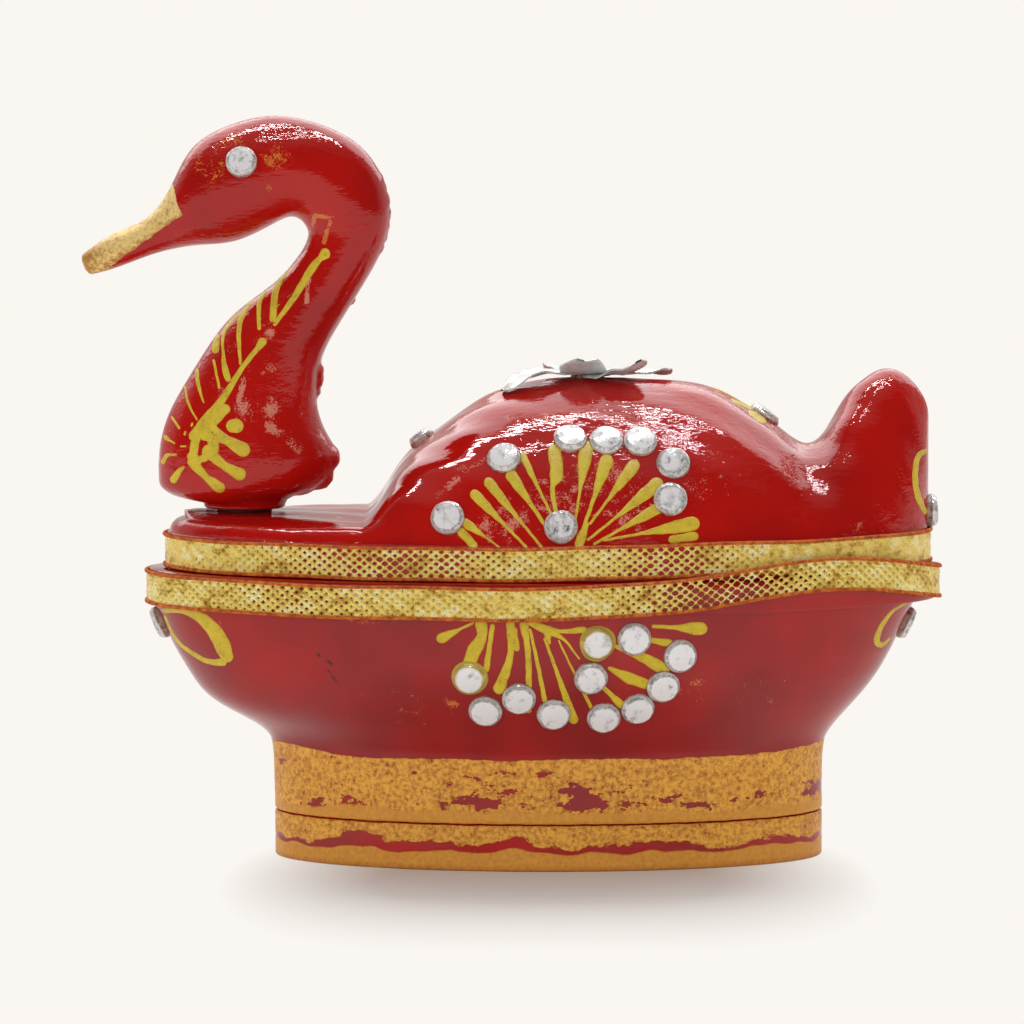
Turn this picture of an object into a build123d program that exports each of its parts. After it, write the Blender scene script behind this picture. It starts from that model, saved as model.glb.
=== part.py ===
from build123d import *

import os
from math import sqrt

# A swan-shaped wooden box for kumkum powder. The body is an oval bowl on an oval foot, the lid is
# the swan's back and tail, and the neck stands on a peg about which the lid swings sideways.
# Origin: centre of the foot's underside. Beak towards -X, tail towards +X, +Z up. Millimetres.

# Foot
foot_length = 80.9
foot_width = 39.0
foot_plate_height = 6.8
foot_edge_round = 0.8
foot_seam_chamfer = 0.3

# Hull: the bowl from the foot up to the parting line
hull_start_height = 17.3
seam_height = 42.6
rim_bow = -58.9
rim_stern = 57.3
rim_width = 54.0
rim_band_height = 5.5
rim_bow_inset = 0.6
rim_stern_inset = 3.1
rim_side_inset = 0.4

# Height of each level between foot and rim band, then how far the bow, the stern and the sides
# have spread by then, all as shares from 0 at the foot to 1 at the band.
hull_levels = [
    (0.00, 0.00, 0.00, 0.00),
    (0.10, 0.10, 0.11, 0.20),
    (0.23, 0.41, 0.28, 0.42),
    (0.45, 0.67, 0.54, 0.70),
    (0.72, 0.85, 0.77, 0.90),
    (1.00, 1.00, 1.00, 1.00),
]

# Well for the powder
well_floor_above_start = 1.7
well_side_wall = 4.5
well_stern_wall = 5.8
well_peg_wall = 4.6
well_floor_side_inset = 4.0
well_floor_stern_inset = 2.6
well_floor_bow_inset = 15.0
well_floor_round = 4.0

# Peg that carries the neck and guides the lid
peg_x = -44.8
peg_diameter = 8.0
peg_socket_depth = 14.6
peg_neck_depth = 12.0
glue_line = 0.05
stone_glue = 0.15
peg_running_clearance = 0.10
peg_tip_chamfer = 0.6

# Lid
lid_play = 0.05
lid_bow_inset = 2.7
lid_stern_inset = 1.4
lid_side_inset = 1.6
lid_band_height = 5.3
lid_band_step = 0.35
lid_plate_thickness = 8.4
lid_plate_round = 2.2
lid_plate_share = 0.262
lid_root_depth = 7.0
dome_height = 19.5
tail_height = 20.8

# Sections across the lid: place as a share of its length from the bow, crest height as a share of
# the dome's or the tail's height, then fullness (0.55 an ellipse, 1 a box) and pinch (1 none).
dome_sections = [
    (0.250, -0.02, 0.93, 1.00),
    (0.275, 0.10, 0.90, 1.00),
    (0.306, 0.369, 0.82, 1.00),
    (0.346, 0.569, 0.74, 1.00),
    (0.386, 0.738, 0.68, 1.00),
    (0.434, 0.897, 0.62, 1.00),
    (0.473, 0.954, 0.58, 1.00),
    (0.521, 0.985, 0.55, 1.00),
    (0.5745, 1.00, 0.55, 1.00),
    (0.628, 0.985, 0.55, 1.00),
    (0.6825, 0.969, 0.55, 1.00),
    (0.727, 0.897, 0.55, 1.00),
    (0.758, 0.795, 0.55, 1.00),
    (0.798, 0.651, 0.55, 0.98),
    (0.826, 0.533, 0.55, 0.95),
]
tail_sections = [
    (0.842, 0.472, 0.56, 0.93),
    (0.859, 0.529, 0.57, 0.89),
    (0.876, 0.673, 0.59, 0.84),
    (0.893, 0.817, 0.61, 0.80),
    (0.9135, 0.933, 0.63, 0.77),
    (0.940, 1.00, 0.65, 0.76),
    (0.9635, 0.971, 0.66, 0.77),
    (0.9866, 0.851, 0.67, 0.80),
    (0.9985, 0.707, 0.68, 0.84),
]

# Hollow in the lid's underside
lid_hollow_bow_inset = 34.0
lid_hollow_stern_inset = 18.0
lid_hollow_side_inset = 8.4
lid_hollow_depth = 11.0
lid_hollow_roof_draft = 6.0
lid_hollow_round = 4.0

# Neck and head, turned round the peg: front (x, z), back (x, z) and half thickness of each
# section, x from the peg's axis and z from the lid's top. It runs from the collar to the beak,
# and no section is thicker than it is long from front to back.
collar_diameter = 12.0
collar_gap = 0.35
beak_tip_round = 1.0
neck_sections = [
    ((-7.8, 1.4), (6.3, 1.4), 6.5),
    ((-10.2, 2.0), (7.7, 2.2), 7.4),
    ((-11.9, 3.0), (10.0, 3.0), 8.4),
    ((-12.6, 4.5), (12.5, 4.7), 9.2),
    ((-12.3, 9.7), (13.1, 9.5), 9.4),
    ((-9.8, 16.6), (10.8, 15.3), 8.4),
    ((-4.9, 24.6), (11.6, 22.5), 7.2),
    ((1.6, 31.3), (14.7, 28.4), 6.1),
    ((7.4, 36.4), (18.4, 34.5), 5.6),
    ((9.5, 40.6), (21.2, 41.1), 5.6),
    ((8.3, 42.7), (20.2, 49.3), 5.9),
    ((5.4, 42.6), (12.7, 56.1), 6.5),
    ((-0.3, 39.8), (0.1, 57.2), 7.2),
    ((-6.2, 39.0), (-7.4, 53.3), 6.3),
    ((-10.8, 38.2), (-10.7, 47.5), 4.1),
    ((-18.8, 35.6), (-19.2, 40.5), 2.4),
    ((-21.9, 34.8), (-23.2, 37.8), 1.6),
]

# Gold ribbons round the two rims
ribbon_thickness = 0.5
ribbon_clearance = 0.08
ribbon_width = 5.0
ribbon_seam_gap = 0.2

# Flat-backed stones
stone_diameter = 4.8
stone_height = 1.5
stone_girdle = 0.4
stone_taper = 42
stone_sides = 12
# Places on the lid's flank: x along the box and z up from the lid's underside
lid_fan = [
    (-14.6, 9.15), (-6.55, 17.45), (3.0, 20.05), (8.2, 19.85), (13.1, 19.65),
    (17.8, 16.65), (17.3, 11.65),
]
lid_fan_centre = (1.6, 7.95)
# Places on the hull's flank: x along the box and z down from the parting line
hull_fan = [
    (18.7, 10.6), (16.3, 15.1), (12.7, 18.4), (7.8, 19.7), (0.6, 19.1), (-4.4, 16.7),
    (-9.2, 18.6), (-11.5, 13.7), (6.8, 8.6), (12.1, 8.0), (5.9, 13.7),
]
eye_place = (0.05, 51.3)
bow_stone_drop = 8.3
stern_stone_drop = 8.2
tail_stone_rise = 8.25
# Places on the lid's ridge, as shares of its length from the bow
shoulder_stone_share = 0.3353
flower_share = 0.5534
back_stone_share = 0.785

# Flower of cupped foil petals on the crown
petal_count = 6
petal_length = 10.6
petal_width = 6.9
petal_thickness = 0.4
petal_cup_radius = 10.5
petal_low_share = 0.35
petal_root_radius = 0.5


def oval(bow, stern, half_width):
    """Draw an ellipse from x = bow to x = stern, half_width to each side."""
    with Locations(((bow + stern) / 2, 0)):
        Ellipse((stern - bow) / 2, half_width)


def between(start, end, share):
    """The value a share of the way from start to end."""
    return start + (end - start) * share


def flank_seat(carrier, place, side):
    """The plane that rests on the carrier's flank at (x, z), seen from side -1 or +1."""
    line = Axis((place[0], side * rim_width, place[1]), (0, -side, 0))
    return surface_seat(carrier, line)


def surface_seat(carrier, line):
    """The plane tangent to the carrier where the line first meets it, with glue between them."""
    point, normal = carrier.find_intersection_points(line)[0]
    outward = normal if normal.dot(line.direction) < 0 else normal * -1
    return Plane(origin=point + outward * stone_glue, z_dir=outward)


# Outlines shared by several pieces
foot_half_length = foot_length / 2
foot_half_width = foot_width / 2
rim_half_width = rim_width / 2
lid_bottom = seam_height + lid_play
lid_top = lid_bottom + lid_plate_thickness
lid_bow = rim_bow + lid_bow_inset
lid_stern = rim_stern - lid_stern_inset
lid_half_width = rim_half_width - lid_side_inset

# Foot plate: the lower half of the foot, glued on, with a fine seam round it
with BuildPart() as foot_plate:
    with BuildSketch():
        Ellipse(foot_half_length, foot_half_width)
    extrude(amount=foot_plate_height)
    fillet(foot_plate.edges().sort_by(Axis.Z)[0], foot_edge_round)
    chamfer(foot_plate.edges().sort_by(Axis.Z)[-1], foot_seam_chamfer)
foot_plate.part.label = "foot_plate"

# Hull: foot, bowl and upright rim band in one carved piece, hollowed from above
band_bottom = seam_height - rim_band_height
well_floor = hull_start_height + well_floor_above_start
with BuildPart() as base_hull:
    with BuildSketch(Plane.XY.offset(foot_plate_height)):
        Ellipse(foot_half_length, foot_half_width)
    extrude(amount=hull_start_height - foot_plate_height)
    chamfer(base_hull.edges().sort_by(Axis.Z)[0], foot_seam_chamfer)
    for height, bow, stern, side in hull_levels:
        with BuildSketch(Plane.XY.offset(between(hull_start_height, band_bottom, height))):
            oval(
                between(-foot_half_length, rim_bow + rim_bow_inset, bow),
                between(foot_half_length, rim_stern - rim_stern_inset, stern),
                between(foot_half_width, rim_half_width - rim_side_inset, side),
            )
    loft()
    with BuildSketch(Plane.XY.offset(band_bottom)):
        oval(rim_bow, rim_stern, rim_half_width)
    extrude(amount=rim_band_height)
    with BuildSketch(Plane.XY.offset(well_floor)):
        oval(
            -foot_half_length + well_floor_bow_inset,
            foot_half_length - well_floor_stern_inset,
            foot_half_width - well_floor_side_inset,
        )
    with BuildSketch(Plane.XY.offset(seam_height)):
        oval(
            peg_x + peg_diameter / 2 + well_peg_wall,
            rim_stern - well_stern_wall,
            rim_half_width - well_side_wall,
        )
    loft(mode=Mode.SUBTRACT)
    floor_face = base_hull.faces().filter_by(Plane.XY).filter_by_position(
        Axis.Z, well_floor - glue_line, well_floor + glue_line
    )
    fillet(floor_face.edges(), well_floor_round)
    with Locations((peg_x, 0, seam_height)):
        Hole(peg_diameter / 2 + glue_line, depth=peg_socket_depth)
base_hull.part.label = "base_hull"

# Lid: a flat plate at the front, and the swan's back and tail as one run of cross sections
lid_length = lid_stern - lid_bow - 2 * lid_band_step
body_bow = lid_bow + lid_band_step
body_half_width = lid_half_width - lid_band_step
root_height = lid_top - lid_root_depth
crests = [(share, dome_height * rise, full, pinch) for share, rise, full, pinch in dome_sections]
crests += [(share, tail_height * rise, full, pinch) for share, rise, full, pinch in tail_sections]
with BuildPart() as lid:
    with BuildSketch(Plane.XY.offset(root_height)):
        oval(body_bow, body_bow + lid_length, body_half_width)
    extrude(amount=lid_root_depth)
    fillet(lid.edges().sort_by(Axis.Z)[-1], lid_plate_round)
    split(bisect_by=Plane.YZ.offset(body_bow + lid_plate_share * lid_length), keep=Keep.BOTTOM)
    for share, crest, full, pinch in crests:
        half = body_half_width * sqrt(1 - (2 * share - 1) ** 2)
        rise = lid_root_depth + crest
        with BuildSketch(Plane.YZ.offset(body_bow + share * lid_length)):
            with BuildLine():
                foot_right = (half, root_height)
                foot_left = (-half, root_height)
                top = (0, root_height + rise)
                Line(foot_left, foot_right)
                Bezier(foot_right, (pinch * half, root_height + full * rise), (full * pinch * half, top[1]), top)
                Bezier(top, (-full * pinch * half, top[1]), (-pinch * half, root_height + full * rise), foot_left)
            make_face()
    loft()
    with BuildSketch(Plane.XY.offset(lid_bottom)):
        oval(lid_bow, lid_stern, lid_half_width)
    extrude(amount=lid_band_height)
    with BuildSketch(Plane.XY.offset(lid_bottom)):
        oval(
            lid_bow + lid_hollow_bow_inset,
            lid_stern - lid_hollow_stern_inset,
            lid_half_width - lid_hollow_side_inset,
        )
    with BuildSketch(Plane.XY.offset(lid_bottom + lid_hollow_depth)):
        oval(
            lid_bow + lid_hollow_bow_inset + lid_hollow_roof_draft,
            lid_stern - lid_hollow_stern_inset - lid_hollow_roof_draft,
            lid_half_width - lid_hollow_side_inset - lid_hollow_roof_draft,
        )
    loft(mode=Mode.SUBTRACT)
    roof_face = lid.faces().filter_by(Plane.XY).filter_by_position(
        Axis.Z, lid_bottom + lid_hollow_depth - glue_line, lid_bottom + lid_hollow_depth + glue_line
    )
    fillet(roof_face.edges(), lid_hollow_round)
    with Locations((peg_x, 0, lid_top)):
        Hole(peg_diameter / 2 + peg_running_clearance, depth=lid_plate_thickness)
lid.part.label = "lid"

# Neck and head: ovals across a hooked centre line, on a round collar drilled for the peg
collar_bottom = lid_top + collar_gap
with BuildPart() as neck_head:
    for front, back, half in neck_sections:
        front_point = Vector(peg_x + front[0], 0, lid_top + front[1])
        back_point = Vector(peg_x + back[0], 0, lid_top + back[1])
        across = front_point - back_point
        section_plane = Plane(
            origin=(front_point + back_point) / 2, x_dir=across, z_dir=across.cross(Vector(0, -1, 0))
        )
        with BuildSketch(section_plane):
            Ellipse(across.length / 2, half)
    loft()
    fillet(neck_head.faces().sort_by(Axis.X)[0].edges(), beak_tip_round)
    collar_top = lid_top + neck_sections[2][0][1]
    with BuildSketch(Plane.XY.offset(collar_bottom)):
        with Locations((peg_x, 0)):
            Circle(collar_diameter / 2)
    extrude(amount=collar_top - collar_bottom)
    with BuildSketch(Plane.XY.offset(collar_bottom)):
        with Locations((peg_x, 0)):
            Circle(peg_diameter / 2 + glue_line)
    extrude(amount=peg_neck_depth, mode=Mode.SUBTRACT)
neck_head.part.label = "neck_head"

# Peg: glued into hull and neck, and a running fit in the lid
peg_bottom = seam_height - peg_socket_depth + glue_line
peg_top = collar_bottom + peg_neck_depth - glue_line
with BuildPart() as pivot_peg:
    with BuildSketch(Plane.XY.offset(peg_bottom)):
        with Locations((peg_x, 0)):
            Circle(peg_diameter / 2)
    extrude(amount=peg_top - peg_bottom)
    chamfer(pivot_peg.edges().filter_by(GeomType.CIRCLE), peg_tip_chamfer)
pivot_peg.part.label = "pivot_peg"


def ribbon(bow, stern, half_width, bottom):
    """A band of ribbon round an oval rim, from bottom upwards, with a slight clearance."""
    inner = ribbon_clearance
    outer = ribbon_clearance + ribbon_thickness
    with BuildPart() as band:
        with BuildSketch(Plane.XY.offset(bottom)):
            oval(bow - outer, stern + outer, half_width + outer)
            with Locations(((bow + stern) / 2, 0)):
                Ellipse((stern - bow) / 2 + inner, half_width + inner, mode=Mode.SUBTRACT)
        extrude(amount=ribbon_width)
    return band


base_ribbon = ribbon(rim_bow, rim_stern, rim_half_width, seam_height - ribbon_seam_gap - ribbon_width)
base_ribbon.part.label = "base_ribbon"
lid_ribbon = ribbon(lid_bow, lid_stern, lid_half_width, seam_height + ribbon_seam_gap)
lid_ribbon.part.label = "lid_ribbon"

# Stone: a low twelve-sided cabochon with a flat table, the one shape used everywhere
with BuildPart() as stone:
    with BuildSketch():
        RegularPolygon(stone_diameter / 2, stone_sides)
    extrude(amount=stone_girdle)
    with BuildSketch(Plane.XY.offset(stone_girdle)):
        RegularPolygon(stone_diameter / 2, stone_sides)
    extrude(amount=stone_height - stone_girdle, taper=stone_taper)


def stones(seats):
    """One stone on each seat."""
    with BuildPart() as group:
        with Locations(*seats):
            add(stone.part)
    return group


# The crown stone rests on the petals' points
petal_point_rise = petal_cup_radius - sqrt(petal_cup_radius**2 - (petal_low_share * petal_length) ** 2)
along = Vector(1, 0, 0)
down = Vector(0, 0, -1)
above = 2 * (lid_top + dome_height + tail_height)


def ridge_seat(share):
    """The plane that rests on the lid's ridge, a share of the lid's length from the bow."""
    return surface_seat(lid.part, Axis((body_bow + share * lid_length, 0, above), down))


crown_seat = ridge_seat(flower_share)
stone_groups = {
    "bow_stone": [surface_seat(base_hull.part, Axis((2 * rim_bow, 0, seam_height - bow_stone_drop), along))],
    "stern_stone": [
        surface_seat(base_hull.part, Axis((2 * rim_stern, 0, seam_height - stern_stone_drop), -along))
    ],
    "tail_stone": [surface_seat(lid.part, Axis((2 * rim_stern, 0, lid_bottom + tail_stone_rise), -along))],
    "shoulder_stone": [ridge_seat(shoulder_stone_share)],
    "crown_stone": [crown_seat.offset(petal_point_rise + petal_thickness + glue_line)],
    "back_stone": [ridge_seat(back_stone_share)],
}
lid_fan_places = [(x, lid_bottom + rise) for x, rise in lid_fan]
lid_centre_place = (lid_fan_centre[0], lid_bottom + lid_fan_centre[1])
hull_fan_places = [(x, seam_height - drop) for x, drop in hull_fan]
eye_at = (peg_x + eye_place[0], lid_top + eye_place[1])
for side, hand in ((-1, "left"), (1, "right")):
    stone_groups["eye_stone_" + hand] = [flank_seat(neck_head.part, eye_at, side)]
    stone_groups["lid_fan_centre_" + hand] = [flank_seat(lid.part, lid_centre_place, side)]
    stone_groups["lid_fan_stones_" + hand] = [flank_seat(lid.part, place, side) for place in lid_fan_places]
    stone_groups["base_fan_stones_" + hand] = [
        flank_seat(base_hull.part, place, side) for place in hull_fan_places
    ]

# Petals: drops cut from a thin bowl, their points together at the crown and their tips turned up
with BuildPart() as petal:
    with Locations((petal_root_radius + petal_low_share * petal_length, 0, petal_cup_radius)):
        Sphere(petal_cup_radius)
        Sphere(petal_cup_radius - petal_thickness, mode=Mode.SUBTRACT)
    with BuildSketch():
        with BuildLine():
            root = (petal_root_radius, 0)
            tip = (petal_root_radius + petal_length, 0)
            Bezier(root, (0.42 * petal_length, 0.33 * petal_width), (tip[0], 0.9 * petal_width), tip)
            mirror(about=Plane.XZ)
        make_face()
    extrude(amount=petal_cup_radius, mode=Mode.INTERSECT)
with BuildPart() as crown_petals:
    with Locations(Plane(origin=crown_seat.origin)):
        with PolarLocations(0, petal_count, start_angle=90):
            add(petal.part)
crown_petals.part.label = "crown_petals"

pieces = [
    foot_plate, base_hull, pivot_peg, neck_head, base_ribbon, lid, lid_ribbon, crown_petals,
]
for name, seats in stone_groups.items():
    group = stones(seats)
    group.part.label = name
    pieces.append(group)

os.makedirs("parts", exist_ok=True)
for piece in pieces:
    export_step(piece.part, "parts/" + piece.part.label + ".step")
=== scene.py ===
import bmesh
import bpy
import numpy as np
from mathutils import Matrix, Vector


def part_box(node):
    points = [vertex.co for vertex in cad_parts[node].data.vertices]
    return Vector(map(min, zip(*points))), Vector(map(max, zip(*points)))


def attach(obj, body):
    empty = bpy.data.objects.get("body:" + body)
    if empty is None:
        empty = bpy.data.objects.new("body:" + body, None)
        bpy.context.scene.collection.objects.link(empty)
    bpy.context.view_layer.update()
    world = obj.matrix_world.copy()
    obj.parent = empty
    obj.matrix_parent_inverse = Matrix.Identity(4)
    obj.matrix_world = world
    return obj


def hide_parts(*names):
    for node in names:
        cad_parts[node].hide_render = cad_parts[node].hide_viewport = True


# A wooden kumkum box carved as a swan and finished in red lacquer, seen from its left side.
# Sizes are written in millimetres and become metres where a mesh is made. The origin is the middle
# of the foot's underside, with the beak towards -X, the tail towards +X and +Z up.
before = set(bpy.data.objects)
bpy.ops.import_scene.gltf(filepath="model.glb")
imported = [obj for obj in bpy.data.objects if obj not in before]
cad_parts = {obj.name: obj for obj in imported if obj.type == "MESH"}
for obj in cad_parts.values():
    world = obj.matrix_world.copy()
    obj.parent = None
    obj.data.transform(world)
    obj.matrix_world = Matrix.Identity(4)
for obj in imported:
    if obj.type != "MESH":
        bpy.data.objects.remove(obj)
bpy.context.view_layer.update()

# ---------------------------------------------------------------------------------------------
# Foot plate: the lower half of the oval foot, a flat block glued under the hull. It was dabbed
# with gold paint, which has worn through to red, and has a smooth gold stripe along its bottom.
# ---------------------------------------------------------------------------------------------
MM = 0.001
foot_length = 80.9
foot_width = 39.0
foot_plate_height = 6.8
foot_edge_round = 0.4
foot_seam_groove = 0.35
foot_seam_turn = 0.1
foot_seam_lip = 0.18
foot_seam_round = 0.35
foot_columns = 288
weld_reach = 0.002
sliver_size = 0.001
carved_waves = 5
# An oval is written as (x of its bow end, x of its stern end, half its width)
foot_oval = np.array([-foot_length / 2, foot_length / 2, foot_width / 2])
pole_oval = np.array([-0.001, 0.001, 0.001])


def in_scene(name, data):
    """A new object at the scene's origin."""
    holder = bpy.data.objects.new(name, data)
    bpy.context.scene.collection.objects.link(holder)
    return holder


def mesh_piece(name, points, faces, material, body, replaced=(), marks=None):
    """Make a smooth-shaded mesh from points in millimetres and hang it on a body of the frame.
    Marks are numbers that each point carries for the material, by name."""
    mesh = bpy.data.meshes.new(name)
    mesh.from_pydata((np.asarray(points).reshape(-1, 3) * MM).tolist(), [], faces)
    for mark, values in (marks or {}).items():
        mesh.attributes.new(mark, "FLOAT", "POINT").data.foreach_set("value", np.asarray(values, np.float32))
    work = bmesh.new()
    work.from_mesh(mesh)
    bmesh.ops.remove_doubles(work, verts=work.verts, dist=weld_reach * MM)
    bmesh.ops.dissolve_degenerate(work, edges=work.edges, dist=sliver_size * MM)
    bmesh.ops.recalc_face_normals(work, faces=work.faces)
    work.to_mesh(mesh)
    work.free()
    mesh.shade_smooth()
    mesh.materials.append(material)
    piece = in_scene(name, mesh)
    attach(piece, body)
    if replaced:
        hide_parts(*replaced)
    return piece


def grid_faces(rows, columns, start=0):
    """Quads that join a grid of points row to row, with its last column joined to its first."""
    index = start + np.arange(rows * columns).reshape(rows, columns)
    index = np.concatenate([index, index[:, :1]], axis=1)
    corners = [index[:-1, :-1], index[:-1, 1:], index[1:, 1:], index[1:, :-1]]
    return np.stack(corners, axis=-1).reshape(-1, 4).tolist()


def full_turn(count):
    """Evenly spaced angles once round."""
    return np.linspace(0, 2 * np.pi, count, endpoint=False)


def unit(vectors):
    """Vectors brought to a length of 1."""
    return vectors / (np.linalg.norm(vectors, axis=-1, keepdims=True) + 1e-9)


def oval_rings(ovals, height, columns):
    """A ring of an ellipse for each oval: x from bow to stern by the cosine of the turn, y by half
    the width times its sine, z the height given for each."""
    bow, stern, half = np.reshape(ovals, (-1, 3, 1)).transpose(1, 0, 2)
    turn = full_turn(columns)[None, :]
    x = (bow + stern) / 2 + (stern - bow) / 2 * np.cos(turn)
    return np.stack([x, half * np.sin(turn), np.reshape(height, (-1, 1)) + 0 * x], axis=-1)


def drawn_in(oval, inset):
    """Ovals that lie inside one oval by an inset for each."""
    return oval + np.reshape(inset, (-1, 1)) * [1, -1, -1]


def grid_normals(points):
    """Unit normals of a grid of points whose last column joins its first."""
    along_columns = (np.roll(points, -1, axis=1) - np.roll(points, 1, axis=1)) / 2
    return unit(np.cross(along_columns, np.gradient(points, axis=0)))


def hand_carved(points, depth, size, seed, level=False):
    """Push points in and out by depth as a knife leaves wood: five sine waves about size long
    that cross at odd angles, with their phases drawn from the seed, along the surface's normals.
    Where level is set, the points keep their heights."""
    draw = np.random.default_rng(seed)
    waves = 0
    for _ in range(carved_waves):
        direction = draw.normal(size=3)
        direction *= 2 * np.pi / size / np.linalg.norm(direction) * draw.uniform(0.6, 1.7)
        waves = waves + np.sin(points @ direction + draw.uniform(0, 2 * np.pi))
    push = grid_normals(points) * (waves * depth / carved_waves)[..., None]
    return points + push * [1, 1, not level]


class Value:
    """One output socket of a material. Arithmetic on it adds Math nodes."""

    def __init__(self, finish, socket):
        self.finish = finish
        self.socket = socket

    def math(self, operation, *others, swap=False, clamp=False):
        terms = [self, *others]
        if swap:
            terms.reverse()
        return self.finish.node("Math", dict(enumerate(terms)), operation=operation, use_clamp=clamp)

    def __add__(self, other):
        return self.math("ADD", other)

    def __sub__(self, other):
        return self.math("SUBTRACT", other)

    def __rsub__(self, other):
        return self.math("SUBTRACT", other, swap=True)

    def __mul__(self, other):
        return self.math("MULTIPLY", other)

    def __truediv__(self, other):
        return self.math("DIVIDE", other)

    __radd__ = __add__
    __rmul__ = __mul__

    def clamped(self):
        return self.math("ADD", 0.0, clamp=True)

    def least(self, other):
        return self.math("MINIMUM", other)

    def most(self, other):
        return self.math("MAXIMUM", other)

    def ramp(self, low, high):
        """0 below low, 1 above high, and an even slope between."""
        return ((self - low) / (high - low)).math("MULTIPLY", 1.0, clamp=True)


class Finish:
    """A material and the nodes that feed its one Principled shader."""

    def __init__(self, name, **sockets):
        self.material = bpy.data.materials.new(name)
        self.material.use_nodes = True
        self.tree = self.material.node_tree
        self.shader = self.tree.nodes["Principled BSDF"]
        self.set(**sockets)

    def set(self, **sockets):
        """Set or link the shader's own sockets, named with _ for each space."""
        for name, value in sockets.items():
            self.plug(self.shader.inputs[name.replace("_", " ")], value)

    def plug(self, socket, value):
        if isinstance(value, Value):
            self.tree.links.new(value.socket, socket)
        else:
            socket.default_value = value

    def node(self, kind, inputs=(), output=0, **settings):
        """Add a node: its settings first, then a value or a link for each input."""
        node = self.tree.nodes.new("ShaderNode" + kind)
        for name, value in settings.items():
            setattr(node, name, value)
        for key, value in dict(inputs).items():
            self.plug(node.inputs[key], value)
        return Value(self, node.outputs[output])

    def place(self, scale=(1, 1, 1)):
        """Object coordinates, stretched: a larger scale makes a finer pattern."""
        here = self.node("TexCoord", output="Object")
        return self.node("Mapping", {"Vector": here, "Scale": scale})

    def noise(self, grain, detail=2.0, roughness=0.5, stretch=(1, 1, 1), shift=0.0):
        """Soft noise from about 0.3 to 0.7 with lumps about grain millimetres across."""
        place = self.node("VectorMath", {0: self.place(stretch), 1: (shift, shift, shift)}, operation="ADD")
        sockets = {"Vector": place, "Scale": 1 / (grain * MM), "Detail": detail, "Roughness": roughness}
        return self.node("TexNoise", sockets)

    def cells(self, grain):
        """Distance to the nearest of scattered points about grain millimetres apart."""
        return self.node("TexVoronoi", {"Vector": self.place(), "Scale": 1 / (grain * MM)}, output="Distance")

    def axes(self):
        """The place on the surface as x, y and z in millimetres."""
        split = self.place((1000, 1000, 1000))
        return [self.node("SeparateXYZ", {0: split}, output=axis) for axis in range(3)]

    def mark(self, name):
        """A number that the mesh's points carry."""
        return self.node("Attribute", output="Fac", attribute_name=name)

    def mix(self, first, second, share):
        """A colour that runs from first to second as share goes from 0 to 1."""
        colours = [c if isinstance(c, Value) else (*c, 1.0) for c in (first, second)]
        sockets = {"Factor": share, 6: colours[0], 7: colours[1]}
        return self.node("Mix", sockets, output=2, data_type="RGBA")

    def bump(self, height, depth):
        """A normal tilted by height, where 1 stands depth millimetres above 0."""
        return self.node("Bump", {"Height": height, "Distance": depth * MM, "Strength": 1.0})


def worn_spot(axes, x, z, reach_x, reach_z):
    """A soft oval on the side of the box: 1 in its middle (x, z) and 0 past its reach."""
    across = (axes[0] - x) / reach_x
    up = (axes[2] - z) / reach_z
    return (1 - (across * across + up * up).math("SQRT")).ramp(0, 0.7)


def worn_line(axes, x, z, end_x, end_z, width):
    """A scratch on the side of the box from (x, z) to its end, 1 along its middle."""
    run_x, run_z = end_x - x, end_z - z
    share = ((axes[0] - x) * run_x + (axes[2] - z) * run_z) / (run_x**2 + run_z**2)
    share = share.clamped()
    off_x, off_z = axes[0] - x - share * run_x, axes[2] - z - share * run_z
    return (width - (off_x * off_x + off_z * off_z).math("SQRT")).ramp(0, width * 0.6)


lacquer_red = (0.50, 0.0075, 0.0045)
lacquer_deep = (0.24, 0.0060, 0.007)
# Pink of the flecks of painted sheen on the lacquer
painted_sheen_pink = (0.50, 0.022, 0.020)
gouge_dark = (0.09, 0.005, 0.004)
gold_brown = (0.46, 0.135, 0.020)
gold_bright = (0.96, 0.48, 0.065)
scuff_gold = (0.70, 0.22, 0.05)
scuff_pale = (0.72, 0.28, 0.20)
# Between these two heights, on the lid and the neck, scuffs are pale. On hull and head they are gold
pale_from = 43
pale_to = 88
# Where along the box the brush marks are weakest
calm_x = -18


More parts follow.
